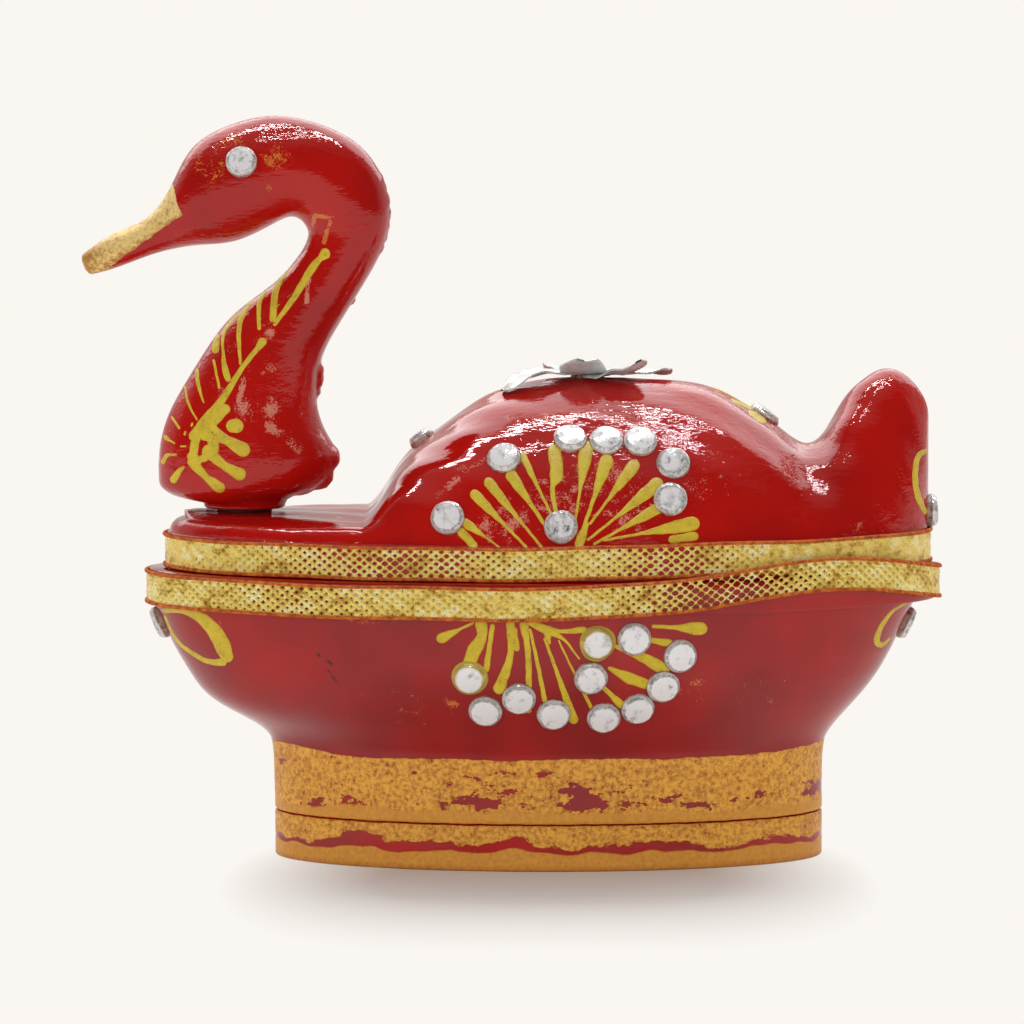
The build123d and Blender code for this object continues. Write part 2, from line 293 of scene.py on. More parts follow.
def lacquered(
    name, gold=None, deep=0.35, scuffs=(), gouges=(), ripple=0.05, leaf=(gold_brown, gold_bright)
):
    """Brushed red lacquer over wood, with gold paint where gold(finish, axes) gives a mask, a grit
    and a tone. Scuffs are spots or lines, as worn_spot and worn_line take them, then a strength,
    and gouges are dark lines of (x, z, end x, end z, width)."""
    finish = Finish(name, IOR=1.45)
    axes = finish.axes()
    clouds = finish.noise(16, 2.0, 0.55)
    wood = finish.mix(lacquer_red, lacquer_deep, (clouds - 0.5) * 1.6 + deep)
    # Pinker flecks at random: a painted sheen of reflected light on the lacquer
    wood = finish.mix(wood, painted_sheen_pink, finish.noise(1.1, 3.0, 0.6).ramp(0.62, 0.85) * 0.25)
    is_pale = (pale_to - axes[2]).ramp(0, 2) * (axes[2] - pale_from).ramp(0, 1)
    dust_colour = finish.mix(scuff_gold, scuff_pale, is_pale)
    grain = finish.noise(0.28, 3.0, 0.75) + (finish.noise(2.2, 2.0, 0.6, shift=0.2) - 0.5) * 0.9
    for *place, strength in scuffs:
        shape = (worn_spot if len(place) == 4 else worn_line)(axes, *place)
        level = 0.72 - 0.22 * strength
        dust = (grain + (shape - 1) * 0.25).ramp(level, level + 0.07) * shape.ramp(0, 0.15)
        wood = finish.mix(wood, dust_colour, dust * 0.85)
    # Brush marks run along the box and are weakest a little before its middle
    brushed = finish.noise(1.5, 3.0, 0.65, stretch=(0.32, 1, 1.25))
    swelled = finish.noise(4.5, 2.0, 0.5, stretch=(0.5, 1, 1), shift=0.1)
    dabbed = finish.noise(0.8, 2.0, 0.6, stretch=(0.6, 1, 1.2), shift=0.4)
    specks = finish.cells(1.9).ramp(0.0, 0.13)
    rough_part = ((axes[0] - calm_x) * (axes[0] - calm_x)).ramp(60, 500) * 0.6 + 0.4
    height = (brushed + dabbed * 0.40 + specks * 0.45) * rough_part + swelled * 1.5
    for gouge in gouges:
        cut = worn_line(axes, *gouge) * finish.noise(0.7, 2.0, 0.7).ramp(0.38, 0.5)
        wood = finish.mix(wood, gouge_dark, cut)
        height = height - cut * 1.5
    roughness = finish.noise(5, 2.0, 0.5) * 0.08 + 0.01
    metal = 0.0
    if gold is not None:
        cover, grit, tone = gold(finish, axes)
        wood = finish.mix(wood, finish.mix(*leaf, tone), cover)
        roughness = roughness * (1 - cover) + cover * 0.45
        metal = cover * 0.15
        height = height * (1 - cover) + cover * (grit * 3.2 + 1.2)
    finish.set(Base_Color=wood, Roughness=roughness, Metallic=metal, Normal=finish.bump(height, ripple))
    return finish.material


def foot_gold(finish, axes):
    """Gold on the foot: a smooth stripe at the bottom, a bare red band, a grainy band up to the
    seam, a smooth stripe above it and a broad grainy band, all with hand-wavered edges. It gives
    where the gold is, how it stands up, and how light it is."""
    waver = (finish.noise(9, 2.0, 0.55, stretch=(1, 1, 0.25)) - 0.5) * 3.2
    height = axes[2] + waver
    grains = finish.noise(0.62, 3.0, 0.7)
    dabs = finish.noise(1.6, 3.0, 0.7, stretch=(0.6, 0.6, 1))
    patches = finish.noise(5.0, 2.0, 0.6, stretch=(0.45, 0.45, 1), shift=0.3)
    near_stripe = (1.0 - (height - 9.9).math("ABSOLUTE") / 1.5).ramp(0, 1)
    bare = (patches + dabs * 0.7 + near_stripe * 0.13).ramp(0.98, 1.01) * (15.5 - axes[2]).ramp(0, 1)
    chipped = (grains + dabs * 0.35).ramp(0.46, 0.51)
    bottom = (2.75 - height).ramp(-0.12, 0.12)
    ragged = (dabs - 0.5) * 2.6 + (patches - 0.5) * 4.0
    lower = (height + ragged).ramp(4.0, 4.25) * (7.0 - axes[2]).ramp(0, 0.2)
    stripe = (axes[2] - 6.75).ramp(0, 0.1) * (8.7 - height).ramp(-0.1, 0.25)
    upper = (height - 8.4).ramp(-0.3, 0.1) * (1 - bare)
    rise = (axes[0] * axes[0]).ramp(900, 1700)
    edge = (16.35 + waver * 0.30 + rise + (dabs - 0.5) * 0.7 - axes[2]).ramp(-0.06, 0.06)
    smooth = bottom.most(stripe)
    cover = smooth.most(lower * chipped).most(upper * chipped) * edge
    crack_line = axes[2] - foot_plate_height + (dabs - 0.5) * 0.5
    crack = (0.17 - crack_line.math("ABSOLUTE")).ramp(0, 0.08)
    cover = cover * (1 - crack)
    light = grains.ramp(0.36, 0.60) * 0.85 + (dabs - 0.5) * 0.9 + 0.15
    # The smooth gold grows darker towards the bottom edge
    darker_at_bottom = (1.0 - axes[2]).ramp(0, 0.9) * 0.35
    tone = light * (1 - smooth) + smooth * (grains * 0.9 + 0.12 - darker_at_bottom)
    return cover, grains * (1.1 - smooth), tone.clamped()


foot_finish = lacquered("gilded_foot", gold=foot_gold)

rounding = np.linspace(0, np.pi / 2, 7)
plate_inset = np.concatenate(
    [foot_edge_round * (1 - np.sin(rounding)), np.zeros(12), [foot_seam_turn, foot_seam_groove]]
)
plate_level = np.concatenate(
    [
        foot_edge_round * (1 - np.cos(rounding)),
        np.linspace(foot_edge_round, foot_plate_height - foot_seam_round, 13)[1:],
        [foot_plate_height - foot_seam_lip, foot_plate_height],
    ]
)
plate_rings = oval_rings(drawn_in(foot_oval, plate_inset), plate_level, foot_columns)
plate_points = np.concatenate(
    [
        oval_rings(pole_oval, plate_level[0], foot_columns),
        hand_carved(plate_rings, 0.10, 14, seed=3, level=True),
        oval_rings(pole_oval, foot_plate_height, foot_columns),
    ]
)
plate_faces = grid_faces(len(plate_points), foot_columns)
mesh_piece("foot_plate_wood", plate_points, plate_faces, foot_finish, "base", ["foot_plate"])

# ---------------------------------------------------------------------------------------------
# Hull: the upper half of the foot, the bowl and its upright rim, carved from one block and
# hollowed for the powder. Lacquered red inside and out, with the foot's gold running up to it.
# ---------------------------------------------------------------------------------------------
hull_start = 17.3
seam_height = 42.6
rim_oval = np.array([-58.9, 57.3, 27.0])
band_bottom = 37.1
band_round = 0.35
band_climb = 0.6
bowl_oval = np.array([-58.3, 54.2, 26.6])
# Height, then how far bow, stern and sides have spread, as shares from the foot to the rim band
hull_levels = np.array(
    [
        (0.00, 0.00, 0.00, 0.00),
        (0.10, 0.10, 0.11, 0.20),
        (0.23, 0.41, 0.28, 0.42),
        (0.45, 0.67, 0.54, 0.70),
        (0.72, 0.85, 0.77, 0.90),
        (1.00, 1.00, 1.00, 1.00),
    ]
)
well_floor = 19.0
well_floor_oval = np.array([-25.45, 37.85, 15.5])
well_rim_oval = np.array([-36.2, 51.5, 22.5])
well_floor_round = 4.0
well_lip = 0.3
hull_columns = 320
corner_passes = 60


def smooth_through(knots, values, at):
    """Natural cubic through values at knots. The second slopes come from the usual three-term
    equations, with none at the two ends, and each place is blended from the knots beside it."""
    knots, values, at = (np.asarray(v, float) for v in (knots, values, at))
    values = values.reshape(len(knots), -1)
    gap = np.diff(knots)
    slope = np.diff(values, axis=0) / gap[:, None]
    matrix = np.eye(len(knots))
    right = np.zeros_like(values)
    for row in range(1, len(knots) - 1):
        matrix[row, row - 1 : row + 2] = gap[row - 1], 2 * (gap[row - 1] + gap[row]), gap[row]
        right[row] = 6 * (slope[row] - slope[row - 1])
    second = np.linalg.solve(matrix, right)
    left = np.clip(np.searchsorted(knots, at, side="right") - 1, 0, len(gap) - 1)
    span = gap[left][:, None]
    ahead = (at - knots[left])[:, None] / span
    behind = 1 - ahead
    bend = (behind**3 - behind) * second[left] + (ahead**3 - ahead) * second[left + 1]
    return behind * values[left] + ahead * values[left + 1] + bend * span**2 / 6


foot_levels = np.concatenate(
    [
        [foot_plate_height, foot_plate_height + foot_seam_lip],
        np.linspace(foot_plate_height + foot_seam_round, hull_start, 26)[:-1],
    ]
)
foot_inset = np.array([foot_seam_groove, foot_seam_turn, *np.zeros(25)])
bowl_share = np.linspace(0, 1, 84)
spread = smooth_through(hull_levels[:, 0], hull_levels[:, 1:], bowl_share)
bowl_levels = hull_start + (band_bottom - hull_start) * bowl_share
band_levels = np.concatenate(
    [
        [band_bottom, band_bottom + band_round],
        np.linspace(band_bottom + 1, seam_height - 0.4, 8),
        [seam_height - 0.12, seam_height],
    ]
)
band_inset = np.array([0.25, 0, *np.zeros(8), 0.06, 0.35])
outside = np.concatenate(
    [
        oval_rings(drawn_in(foot_oval, foot_inset), foot_levels, hull_columns),
        oval_rings(foot_oval + (bowl_oval - foot_oval) * spread, bowl_levels, hull_columns),
        oval_rings(drawn_in(rim_oval, band_inset), band_levels, hull_columns),
    ]
)
# The knife left no corner where the bowl grows out of the foot
corner_rows = slice(2, 70)
soft = outside[corner_rows].copy()
for _ in range(corner_passes):
    soft[1:-1, :, :2] = (soft[:-2, :, :2] + 2 * soft[1:-1, :, :2] + soft[2:, :, :2]) / 4
outside[corner_rows] = soft
below_rim = slice(None, -len(band_levels))
outside[below_rim] = hand_carved(outside[below_rim], 0.16, 15, seed=5, level=True)
# The rim band's lower corner climbs a little towards the stern
lift = band_climb * (1 + np.clip(outside[..., 0] / 55, 0, 1))
near_band = np.clip((outside[..., 2] - 31) / 6, 0, 1) * np.clip((42 - outside[..., 2]) / 4.5, 0, 1)
outside[..., 2] += lift * near_band
# The well: from the rim down its drafted wall, round the corner and across the floor
wall_share = np.linspace(0, 1, 26)
corner = np.linspace(0, np.pi / 2, 10)
wall_levels = seam_height + (well_floor + well_floor_round - seam_height) * wall_share
share_down = (seam_height - wall_levels) / (seam_height - well_floor)
wall = well_rim_oval + (well_floor_oval - well_rim_oval) * share_down[:, None]
turned_in = (1 - np.cos(corner))[:, None]
turn_floor = drawn_in(wall[-1], well_floor_round * turned_in) + (well_floor_oval - wall[-1]) * turned_in * 0.2
turn_levels = well_floor + well_floor_round * (1 - np.sin(corner))
inside = np.concatenate(
    [
        oval_rings(drawn_in(well_rim_oval, -well_lip), seam_height, hull_columns),
        oval_rings(wall, wall_levels - well_lip * (wall_share == 0), hull_columns),
        oval_rings(turn_floor[1:], turn_levels[1:], hull_columns),
    ]
)
inside[1:] = hand_carved(inside[1:], 0.25, 9, seed=8)
well_middle = (well_floor_oval[0] + well_floor_oval[1]) / 2
well_centre = [well_middle * np.array([1, 1, 0]) + oval for oval in ([-8, 8, 4], pole_oval)]
hull_points = np.concatenate(
    [
        oval_rings(pole_oval, foot_plate_height, hull_columns),
        outside,
        inside,
        oval_rings(well_centre, [well_floor, well_floor], hull_columns),
    ]
)
hull_scuffs = [
    (-14.3, 25.3, 2.6, 1.5, 0.75), (-4.5, 27.5, 3.0, 1.5, 0.3), (19.5, 27.0, 5.0, 5.0, 0.45),
    (-22.0, 24.0, 14.0, 6.0, 0.25), (30.0, 26.0, 10.0, 8.0, 0.25),
    (-48.3, 34.0, -47.8, 35.8, 0.35, 1.0), (-30.0, 37.2, -22.0, 37.0, 0.8, 0.5),
]
hull_gouges = [(-33.3, 31.9, -31.4, 30.6, 0.34), (-31.9, 29.6, -30.4, 27.5, 0.26)]
hull_finish = lacquered(
    "hull_lacquer", foot_gold, deep=0.55, scuffs=hull_scuffs, gouges=hull_gouges, ripple=0.03
)
hull_faces = grid_faces(len(hull_points), hull_columns)
hull = mesh_piece("hull_wood", hull_points, hull_faces, hull_finish, "base", ["base_hull"])

# ---------------------------------------------------------------------------------------------
# Peg: a turned wooden pin glued into the hull and the neck. The lid turns on its bare middle.
# ---------------------------------------------------------------------------------------------
peg_x = -44.8
peg_radius = 4.0
peg_socket_floor = 28.0
glue_line = 0.05
bore_sides = 64
bore_past = 5
carved_edge = np.radians(38)


def drilled(piece, radius, low, high):
    """Cut a round bore about the peg's axis out of a piece, from height low to height high."""
    turn = full_turn(bore_sides)
    ring = np.stack([peg_x + radius * np.cos(turn), radius * np.sin(turn)], axis=-1)
    ends = [np.column_stack([ring, np.full(bore_sides, level)]) for level in (low, high)]
    caps = [list(range(bore_sides))[::-1], list(range(bore_sides, 2 * bore_sides))]
    cutter = in_scene("bore", bpy.data.meshes.new("bore"))
    cutter.data.from_pydata((np.concatenate(ends) * MM).tolist(), [], grid_faces(2, bore_sides) + caps)
    cut = piece.modifiers.new("bore", "BOOLEAN")
    cut.operation = "DIFFERENCE"
    cut.solver = "EXACT"
    cut.object = cutter
    evaluated = piece.evaluated_get(bpy.context.evaluated_depsgraph_get())
    piece.data = bpy.data.meshes.new_from_object(evaluated)
    piece.modifiers.clear()
    bpy.data.objects.remove(cutter)
    piece.data.shade_smooth()
    piece.data.set_sharp_from_angle(angle=carved_edge)


drilled(hull, peg_radius + glue_line, peg_socket_floor, seam_height + bore_past)
# The peg is coloured near black: painted shade for the gap under the neck's collar, where it shows
peg_finish = Finish("peg_wood_painted_shade", Roughness=0.62)
peg_grain = peg_finish.noise(0.5, 3.0, 0.6, stretch=(1, 1, 0.08))
peg_finish.set(
    Base_Color=peg_finish.mix((0.05, 0.014, 0.009), (0.11, 0.035, 0.02), peg_grain.ramp(0.35, 0.65)),
    Normal=peg_finish.bump(peg_grain, 0.05),
)
peg_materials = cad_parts["pivot_peg"].data.materials
peg_materials.clear()
peg_materials.append(peg_finish.material)

# ---------------------------------------------------------------------------------------------
# Neck and head: one carved piece, glued on the peg by its round collar. Ovals follow the hooked
# neck from the collar to the beak, whose upper half is painted gold. Paint has run down its back.
# ---------------------------------------------------------------------------------------------
lid_top = 51.05
collar_radius = 6.0
collar_bottom = lid_top + 0.35
neck_socket_depth = 12.35
neck_columns = 104
beak_bluntness = 0.7
beak_brown = (0.50, 0.24, 0.05)
beak_bright = (0.92, 0.66, 0.24)
# Front (x, z), back (x, z) and half thickness, x from the peg and z from the lid's top
neck_stations = np.array(
    [
        (-7.8, 1.4, 6.3, 1.4, 6.5), (-10.2, 2.0, 7.7, 2.2, 7.4), (-11.9, 3.0, 10.0, 3.0, 8.4),
        (-12.6, 4.5, 12.5, 4.7, 9.2), (-12.6, 6.9, 13.6, 7.2, 9.5), (-12.3, 9.7, 13.1, 9.5, 9.4),
        (-11.4, 13.1, 11.8, 11.9, 9.0), (-9.8, 16.6, 10.8, 15.3, 8.4), (-7.7, 20.3, 10.9, 18.6, 7.8),
        (-4.9, 24.6, 11.6, 22.5, 7.2), (-1.8, 28.4, 13.1, 25.7, 6.6), (1.6, 31.3, 14.7, 28.4, 6.1),
        (4.9, 33.8, 16.5, 31.3, 5.8), (7.4, 36.4, 18.4, 34.5, 5.6), (9.0, 38.8, 20.1, 37.8, 5.6),
        (9.5, 40.6, 21.2, 41.1, 5.6), (9.1, 41.8, 21.4, 45.0, 5.7), (8.3, 42.7, 20.2, 49.3, 5.9),
        (7.1, 43.1, 17.6, 53.0, 6.1), (5.4, 42.6, 12.7, 56.1, 6.5), (2.8, 41.2, 5.9, 57.8, 7.0),
        (-0.3, 39.8, 0.1, 57.2, 7.2), (-3.4, 39.2, -4.4, 55.5, 7.0), (-6.2, 39.0, -7.4, 53.3, 6.3),
        (-8.4, 38.7, -9.2, 50.6, 5.3), (-10.8, 38.2, -10.7, 47.5, 4.1), (-14.3, 37.2, -14.0, 43.1, 2.9),
        (-18.8, 35.6, -19.2, 40.5, 2.4), (-21.9, 34.8, -23.2, 37.8, 1.6),
    ]
)
# Runs of paint and a knife's nicks, on the back of the neck: x, z, reach and height
neck_lumps = [
    (-33.7, 71.4, 1.0, 0.65), (-33.6, 69.8, 0.9, 0.75), (-33.5, 68.3, 0.8, 0.7), (-31.4, 58.8, 1.5, 0.5),
    (-32.4, 55.2, 1.2, 0.7), (-33.9, 54.5, 0.9, 0.5), (-36.0, 53.7, 0.9, 0.4), (-24.6, 99.9, 0.8, 0.20),
    (-24.0, 98.4, 0.5, 0.16), (-23.6, 96.6, 0.9, 0.22), (-23.4, 94.6, 0.6, 0.25), (-23.3, 92.7, 0.8, 0.18),
    (-23.7, 91.0, 0.5, 0.22), (-24.3, 89.3, 0.7, 0.2), (-28.6, 81.6, 0.5, 0.3), (-29.6, 79.1, 0.5, 0.3),
]


def oval_across(front, back, half, columns):
    """Rings of an ellipse in the plane through front (x, z), back (x, z) and the Y axis, one per
    row: its middle is theirs, and half is its reach along Y."""
    turn = full_turn(columns)[None, :, None]
    middle = (front + back)[:, None, :] / 2
    flat = middle + (back - front)[:, None, :] / 2 * np.cos(turn)
    y = half[:, None, None] * np.sin(turn)
    return np.concatenate([flat[..., :1], y, flat[..., 1:]], axis=-1)


def raised(points, lumps):
    """Lift soft bumps (x, z, reach, height) where they meet the piece, away from its middle line."""
    normal = grid_normals(points)
    outward = np.sign(np.sum(normal * (points - points.mean(axis=1, keepdims=True)), axis=-1, keepdims=True))
    lift = 0
    for x, z, reach, height in lumps:
        far = np.sqrt((points[..., 0] - x) ** 2 + (points[..., 1] / 1.6) ** 2 + (points[..., 2] - z) ** 2)
        lift = lift + height * np.exp(-((far / reach) ** 4))
    return points + normal * outward * lift[..., None]


def run_along(points, extra=0.0):
    """The distance run at each point of a line, with a little extra for each step."""
    return np.concatenate([[0], np.cumsum(np.linalg.norm(np.diff(points, axis=0), axis=1) + extra)])


stations = neck_stations + [peg_x, lid_top, peg_x, lid_top, 0]
neck_run = run_along((stations[:, 0:2] + stations[:, 2:4]) / 2, extra=0.4)
neck_rows = smooth_through(neck_run, stations, np.linspace(0, neck_run[-1], 190))
neck_body = oval_across(neck_rows[:, 0:2], neck_rows[:, 2:4], neck_rows[:, 4], neck_columns)
neck_body = raised(hand_carved(neck_body, 0.13, 12, seed=11), neck_lumps)
tip_turn = np.linspace(0, np.pi / 2, 9)[1:, None, None]
tip_middle = neck_body[-1].mean(axis=0)
tip_ahead = unit(tip_middle - neck_body[-6].mean(axis=0))
tip_rings = tip_middle + (neck_body[-1] - tip_middle) * np.cos(tip_turn) ** beak_bluntness
beak_tip = tip_rings + tip_ahead * np.sin(tip_turn)
# The collar's rings start at the back, as the neck's do
collar_radii = np.array([pole_oval[2], *(collar_radius + np.array([-0.3, 0, 0, 0.15]))])
collar_ovals = np.stack([peg_x - collar_radii, peg_x + collar_radii, collar_radii], axis=-1)
collar = oval_rings(collar_ovals, collar_bottom + np.array([0, 0, 0.25, 0.5, 0.75]), neck_columns)
neck_points = np.concatenate([collar, neck_body, beak_tip])


def beak_gold(finish, axes):
    """Gold on the beak: everything above a slanting line from its corner to near its tip, and all
    of the tip, with an edge that wavers."""
    waver = (finish.noise(1.8, 2.0, 0.5) - 0.5) * 0.9
    line = axes[2] - 94.4 - (axes[0] + 53.8) * 0.71 + waver
    corner = -53.6 - axes[0] - (axes[2] - 94.4) * 0.28 + waver
    brow = 98.6 - axes[2] - (axes[0] + 54.5) * 0.6 + waver * 0.5
    upper = line.ramp(-0.06, 0.06).least(corner.ramp(-0.06, 0.06)).least(brow.ramp(-0.2, 0.2))
    tip = (-64.0 - axes[0] + waver).ramp(-0.06, 0.06)
    worn = finish.noise(0.7, 3.0, 0.7).ramp(0.36, 0.42)
    cover = upper.most(tip) * worn.most(0.8)
    grit = finish.noise(0.6, 3.0, 0.7)
    low_edge = (1.3 - line).ramp(0, 1.6).most((-63.5 - axes[0]).ramp(0, 4) * 0.5) * 0.30
    return cover, grit * 0.15, (grit - low_edge + (finish.noise(3, 2.0, 0.5) - 0.5) * 0.5).ramp(0.26, 0.52)


head_scuffs = [
    (-39.8, 102.7, 3.4, 2.4, 1.15), (-49.2, 101.6, 3.6, 3.2, 0.95), (-45.2, 105.2, 5.0, 1.6, 0.75),
    (-46.5, 99.2, 2.0, 1.2, 0.4), (-40.6, 98.7, 0.9, 0.9, 0.9), (-34.2, 94.4, -31.5, 94.2, 0.45, 1.6),
    (-34.2, 94.2, -35.4, 90.2, 0.42, 1.4), (-31.7, 94.2, -32.9, 90.6, 0.42, 1.6),
    (-36.2, 88.6, -39.4, 84.6, 0.25, 0.9), (-34.9, 86.6, -35.3, 84.8, 0.55, 1.6),
    (-35.2, 84.4, -35.3, 82.0, 0.5, 1.3), (-41.6, 78.6, -38.6, 80.2, 0.5, 0.9), (-42.6, 76.6, 1.2, 1.2, 0.6),
    (-43.9, 72.5, -45.2, 67.8, 0.7, 1.15), (-43.6, 66.2, 3.6, 2.8, 0.95), (-40.6, 66.6, 3.4, 2.8, 0.95),
    (-47.5, 69.5, 2.6, 2.2, 0.85), (-40.8, 64.0, -36.6, 60.8, 1.3, 0.9), (-46.8, 75.6, 1.6, 2.2, 0.8),
    (-41.0, 72.2, 2.0, 1.6, 0.85), (-41.0, 77.4, 1.8, 1.4, 1.0),
]
beak_gouges = [(-59.2, 93.5, -57.6, 92.9, 0.28)]
neck_finish = lacquered(
    "neck_lacquer", beak_gold, deep=0.12, scuffs=head_scuffs, gouges=beak_gouges, ripple=0.13,
    leaf=(beak_brown, beak_bright),
)
neck_faces = grid_faces(len(neck_points), neck_columns)
neck = mesh_piece(
    "neck_and_head", neck_points, neck_faces, neck_finish, "base", ["neck_head"]
)
drilled(neck, peg_radius + glue_line, lid_top - bore_past, lid_top + neck_socket_depth)

# ---------------------------------------------------------------------------------------------
# Lid: the swan's back and tail in one carved piece with the flat plate that the peg goes through.
# It is hollowed below over the powder, lacquered in a brighter red, and swings about the peg.
# ---------------------------------------------------------------------------------------------
lid_bottom = 42.65
lid_oval = np.array([-56.2, 55.9, 25.4])
lid_band_top = 47.95
lid_band_step = 0.35
lid_root = 44.05
lid_root_depth = 7.0
lid_plate_round = 2.2
lid_plate_crown = 1.0
dome_height = 19.5
tail_height = 20.8
# Share of the length from the bow, crest above the plate as a share, fullness and pinch
dome_sections = np.array(
    [
        (0.250, -0.02, 0.93, 1.00), (0.275, 0.10, 0.90, 1.00), (0.306, 0.369, 0.82, 1.00),
        (0.346, 0.569, 0.74, 1.00), (0.386, 0.738, 0.68, 1.00), (0.434, 0.897, 0.62, 1.00),
        (0.473, 0.954, 0.58, 1.00), (0.521, 0.985, 0.55, 1.00), (0.5745, 1.00, 0.55, 1.00),
        (0.628, 0.985, 0.55, 1.00), (0.6825, 0.969, 0.55, 1.00), (0.727, 0.897, 0.55, 1.00),
        (0.758, 0.795, 0.55, 1.00), (0.798, 0.651, 0.55, 0.98), (0.826, 0.533, 0.55, 0.95),
    ]
)
tail_sections = np.array(
    [
        (0.842, 0.472, 0.56, 0.93), (0.859, 0.529, 0.57, 0.89), (0.876, 0.673, 0.59, 0.84),
        (0.893, 0.817, 0.61, 0.80), (0.9135, 0.933, 0.63, 0.77), (0.940, 1.00, 0.65, 0.76),
        (0.9635, 0.971, 0.66, 0.77), (0.9866, 0.855, 0.67, 0.80), (0.9975, 0.745, 0.68, 0.84),
        (1.0000, 0.650, 0.68, 0.85),
    ]
)
# Shares of the length where the flat plate ends and the dome starts
plate_end = 0.225
dome_start = 0.300
hollow_mouth = np.array([-22.2, 37.9, 17.0])
hollow_roof = np.array([-16.2, 31.9, 11.0])
hollow_depth = 11.0
hollow_round = 4.0
band_edge = 0.25
running_gap = 0.1


def eased(share):
    """A share held between 0 and 1, and level where it leaves both."""
    share = np.clip(share, 0, 1)
    return share * share * (3 - 2 * share)


def oval_slices(ovals, height, share):
    """Columns of points, one ellipse each, cut at the same shares of their lengths: x runs from
    bow to stern with the share, and y is half times the square root of 4 share (1 - share)."""
    bow, stern, half = np.reshape(ovals, (-1, 3)).T
    share = share[:, None]
    x = bow + (stern - bow) * share
    y = half * 2 * np.sqrt(np.clip(share * (1 - share), 0, None))
    return np.stack([x, y, height + 0 * x], axis=-1)


def carved_back(share, columns):
    """The lid's back from the band's top to the ridge. Each slice is half an arch: a cubic curve
    from (half, 0) by (pinch half, fullness rise) and (fullness pinch half, rise) to (0, rise). It
    starts where it is as high as the band, and on the plate it is a rounded oval block instead."""
    crests = np.concatenate([dome_sections * [1, dome_height, 1, 1], tail_sections * [1, tail_height, 1, 1]])
    turn, at = np.arccos(1 - 2 * crests[:, 0]), np.arccos(1 - 2 * np.clip(share, crests[0, 0], 1))
    crest, full, pinch = smooth_through(turn, crests[:, 1:], at).T
    rise = lid_root_depth + crest
    start = np.zeros(len(share))
    end = np.ones(len(share))
    for _ in range(40):
        middle = (start + end) / 2
        climb = 3 * (1 - middle) ** 2 * middle * full + 3 * (1 - middle) * middle**2 + middle**3
        low = climb * rise < lid_band_top - lid_root
        start = np.where(low, middle, start)
        end = np.where(low, end, middle)
    run = start[:, None] + (1 - start[:, None]) * np.linspace(0, 1, columns)[None, :]
    lid_bow, lid_stern, lid_half = lid_oval - lid_band_step * np.array([-1, 0, 1])
    half = lid_half * 2 * np.sqrt(np.clip(share * (1 - share), 0, None))[:, None]
    first, second, third, last = [k * (1 - run) ** (3 - n) * run**n for n, k in enumerate((1, 3, 3, 1))]
    full, pinch, rise = full[:, None], pinch[:, None], rise[:, None]
    y = half * (first + second * pinch + third * full * pinch)
    z = lid_root + rise * (second * full + third + last)
    x = lid_bow + (lid_stern - lid_bow) * share[:, None] + 0 * run
    arch = np.stack([x, y, z], axis=-1)
    # The block: its side, the bend at its edge, and its flat top
    side = np.linspace(0, 1, columns // 8)[:-1]
    bend = np.linspace(0, np.pi / 2, columns // 4)
    flat = np.linspace(1, 0, columns + 1 - len(side) - len(bend))[1:]
    wall_top = lid_top - lid_plate_round - lid_plate_crown
    inset = np.concatenate([0 * side, lid_plate_round * (1 - np.cos(bend)), 0 * flat + lid_plate_round])
    level = np.concatenate(
        [
            lid_band_top + (wall_top - lid_band_top) * side,
            wall_top + lid_plate_round * np.sin(bend),
            lid_top - lid_plate_crown * flat**2,
        ]
    )
    ovals = drawn_in(lid_oval, lid_band_step + inset)
    ovals[:, 2] *= np.concatenate([0 * side + 1, 0 * bend + 1, flat])
    block = oval_slices(ovals, level, share)
    lift = np.concatenate([side, 0 * bend + 1, 0 * flat + 1])
    block[..., 2] += np.clip(crest, 0, None)[:, None] * lift[None, :]
    domed = eased((share - plate_end) / (dome_start - plate_end))
    return block + (arch - block) * domed[:, None, None]


lid_share = (1 - np.cos(np.linspace(0, np.pi, 300))) / 2
roof_level = lid_bottom + hollow_depth
# The hollow, from its mouth up the drafted wall, round the corner and across the roof
draft = np.linspace(0, 1, 10)[:, None]
curl = np.linspace(0, np.pi / 2, 8)[1:, None]
wall_end = 1 - hollow_round / hollow_depth
wall_ovals = hollow_mouth + (hollow_roof - hollow_mouth) * draft * wall_end
curl_ovals = drawn_in(wall_ovals[-1], hollow_round * (1 - np.cos(curl)))
curl_ovals = curl_ovals + (hollow_roof - wall_ovals[-1]) * curl / curl[-1] * 0.3
hollow_ovals = np.concatenate([wall_ovals, curl_ovals])[::-1]
draft_levels = lid_bottom + hollow_depth * wall_end * draft
curl_levels = roof_level - hollow_round * (1 - np.sin(curl))
hollow_levels = np.concatenate([draft_levels, curl_levels])[::-1, 0]
roof_ovals = hollow_ovals[0] * [1, 1, 0] + np.outer(np.linspace(0, 1, 8)[:-1], hollow_ovals[0] * [0, 0, 1])
roof_levels = np.full(len(roof_ovals), roof_level)
inner = oval_slices(
    np.concatenate([roof_ovals, hollow_ovals]), np.concatenate([roof_levels, hollow_levels]), lid_share
)
# The upright band round the lid, from inside its lower edge to the step at its top
band_ovals = np.concatenate([[lid_oval + [9, -5, -4]], drawn_in(lid_oval, [band_edge, 0, 0, 0, 0.1])])
lid_band_middle = (lid_bottom + lid_band_top) / 2
lid_band_levels = np.array(
    [lid_bottom, lid_bottom, lid_bottom + band_edge, lid_band_middle, lid_band_top - 0.1, lid_band_top]
)
band = oval_slices(band_ovals, lid_band_levels, lid_share)
back_columns = 84
half_lid = np.concatenate([inner, band, carved_back(lid_share, back_columns)], axis=1)
lid_points = np.concatenate([half_lid, half_lid[:, ::-1] * [1, -1, 1]], axis=1)
carved = hand_carved(lid_points, 0.30, 11, seed=21)
from_band = np.clip((lid_points[..., 2:] - lid_band_top - 0.1) / 1.5, 0, 1)
below_back = inner.shape[1] + band.shape[1]
back_mask = np.zeros(lid_points.shape[1])
back_mask[below_back:-below_back] = 1
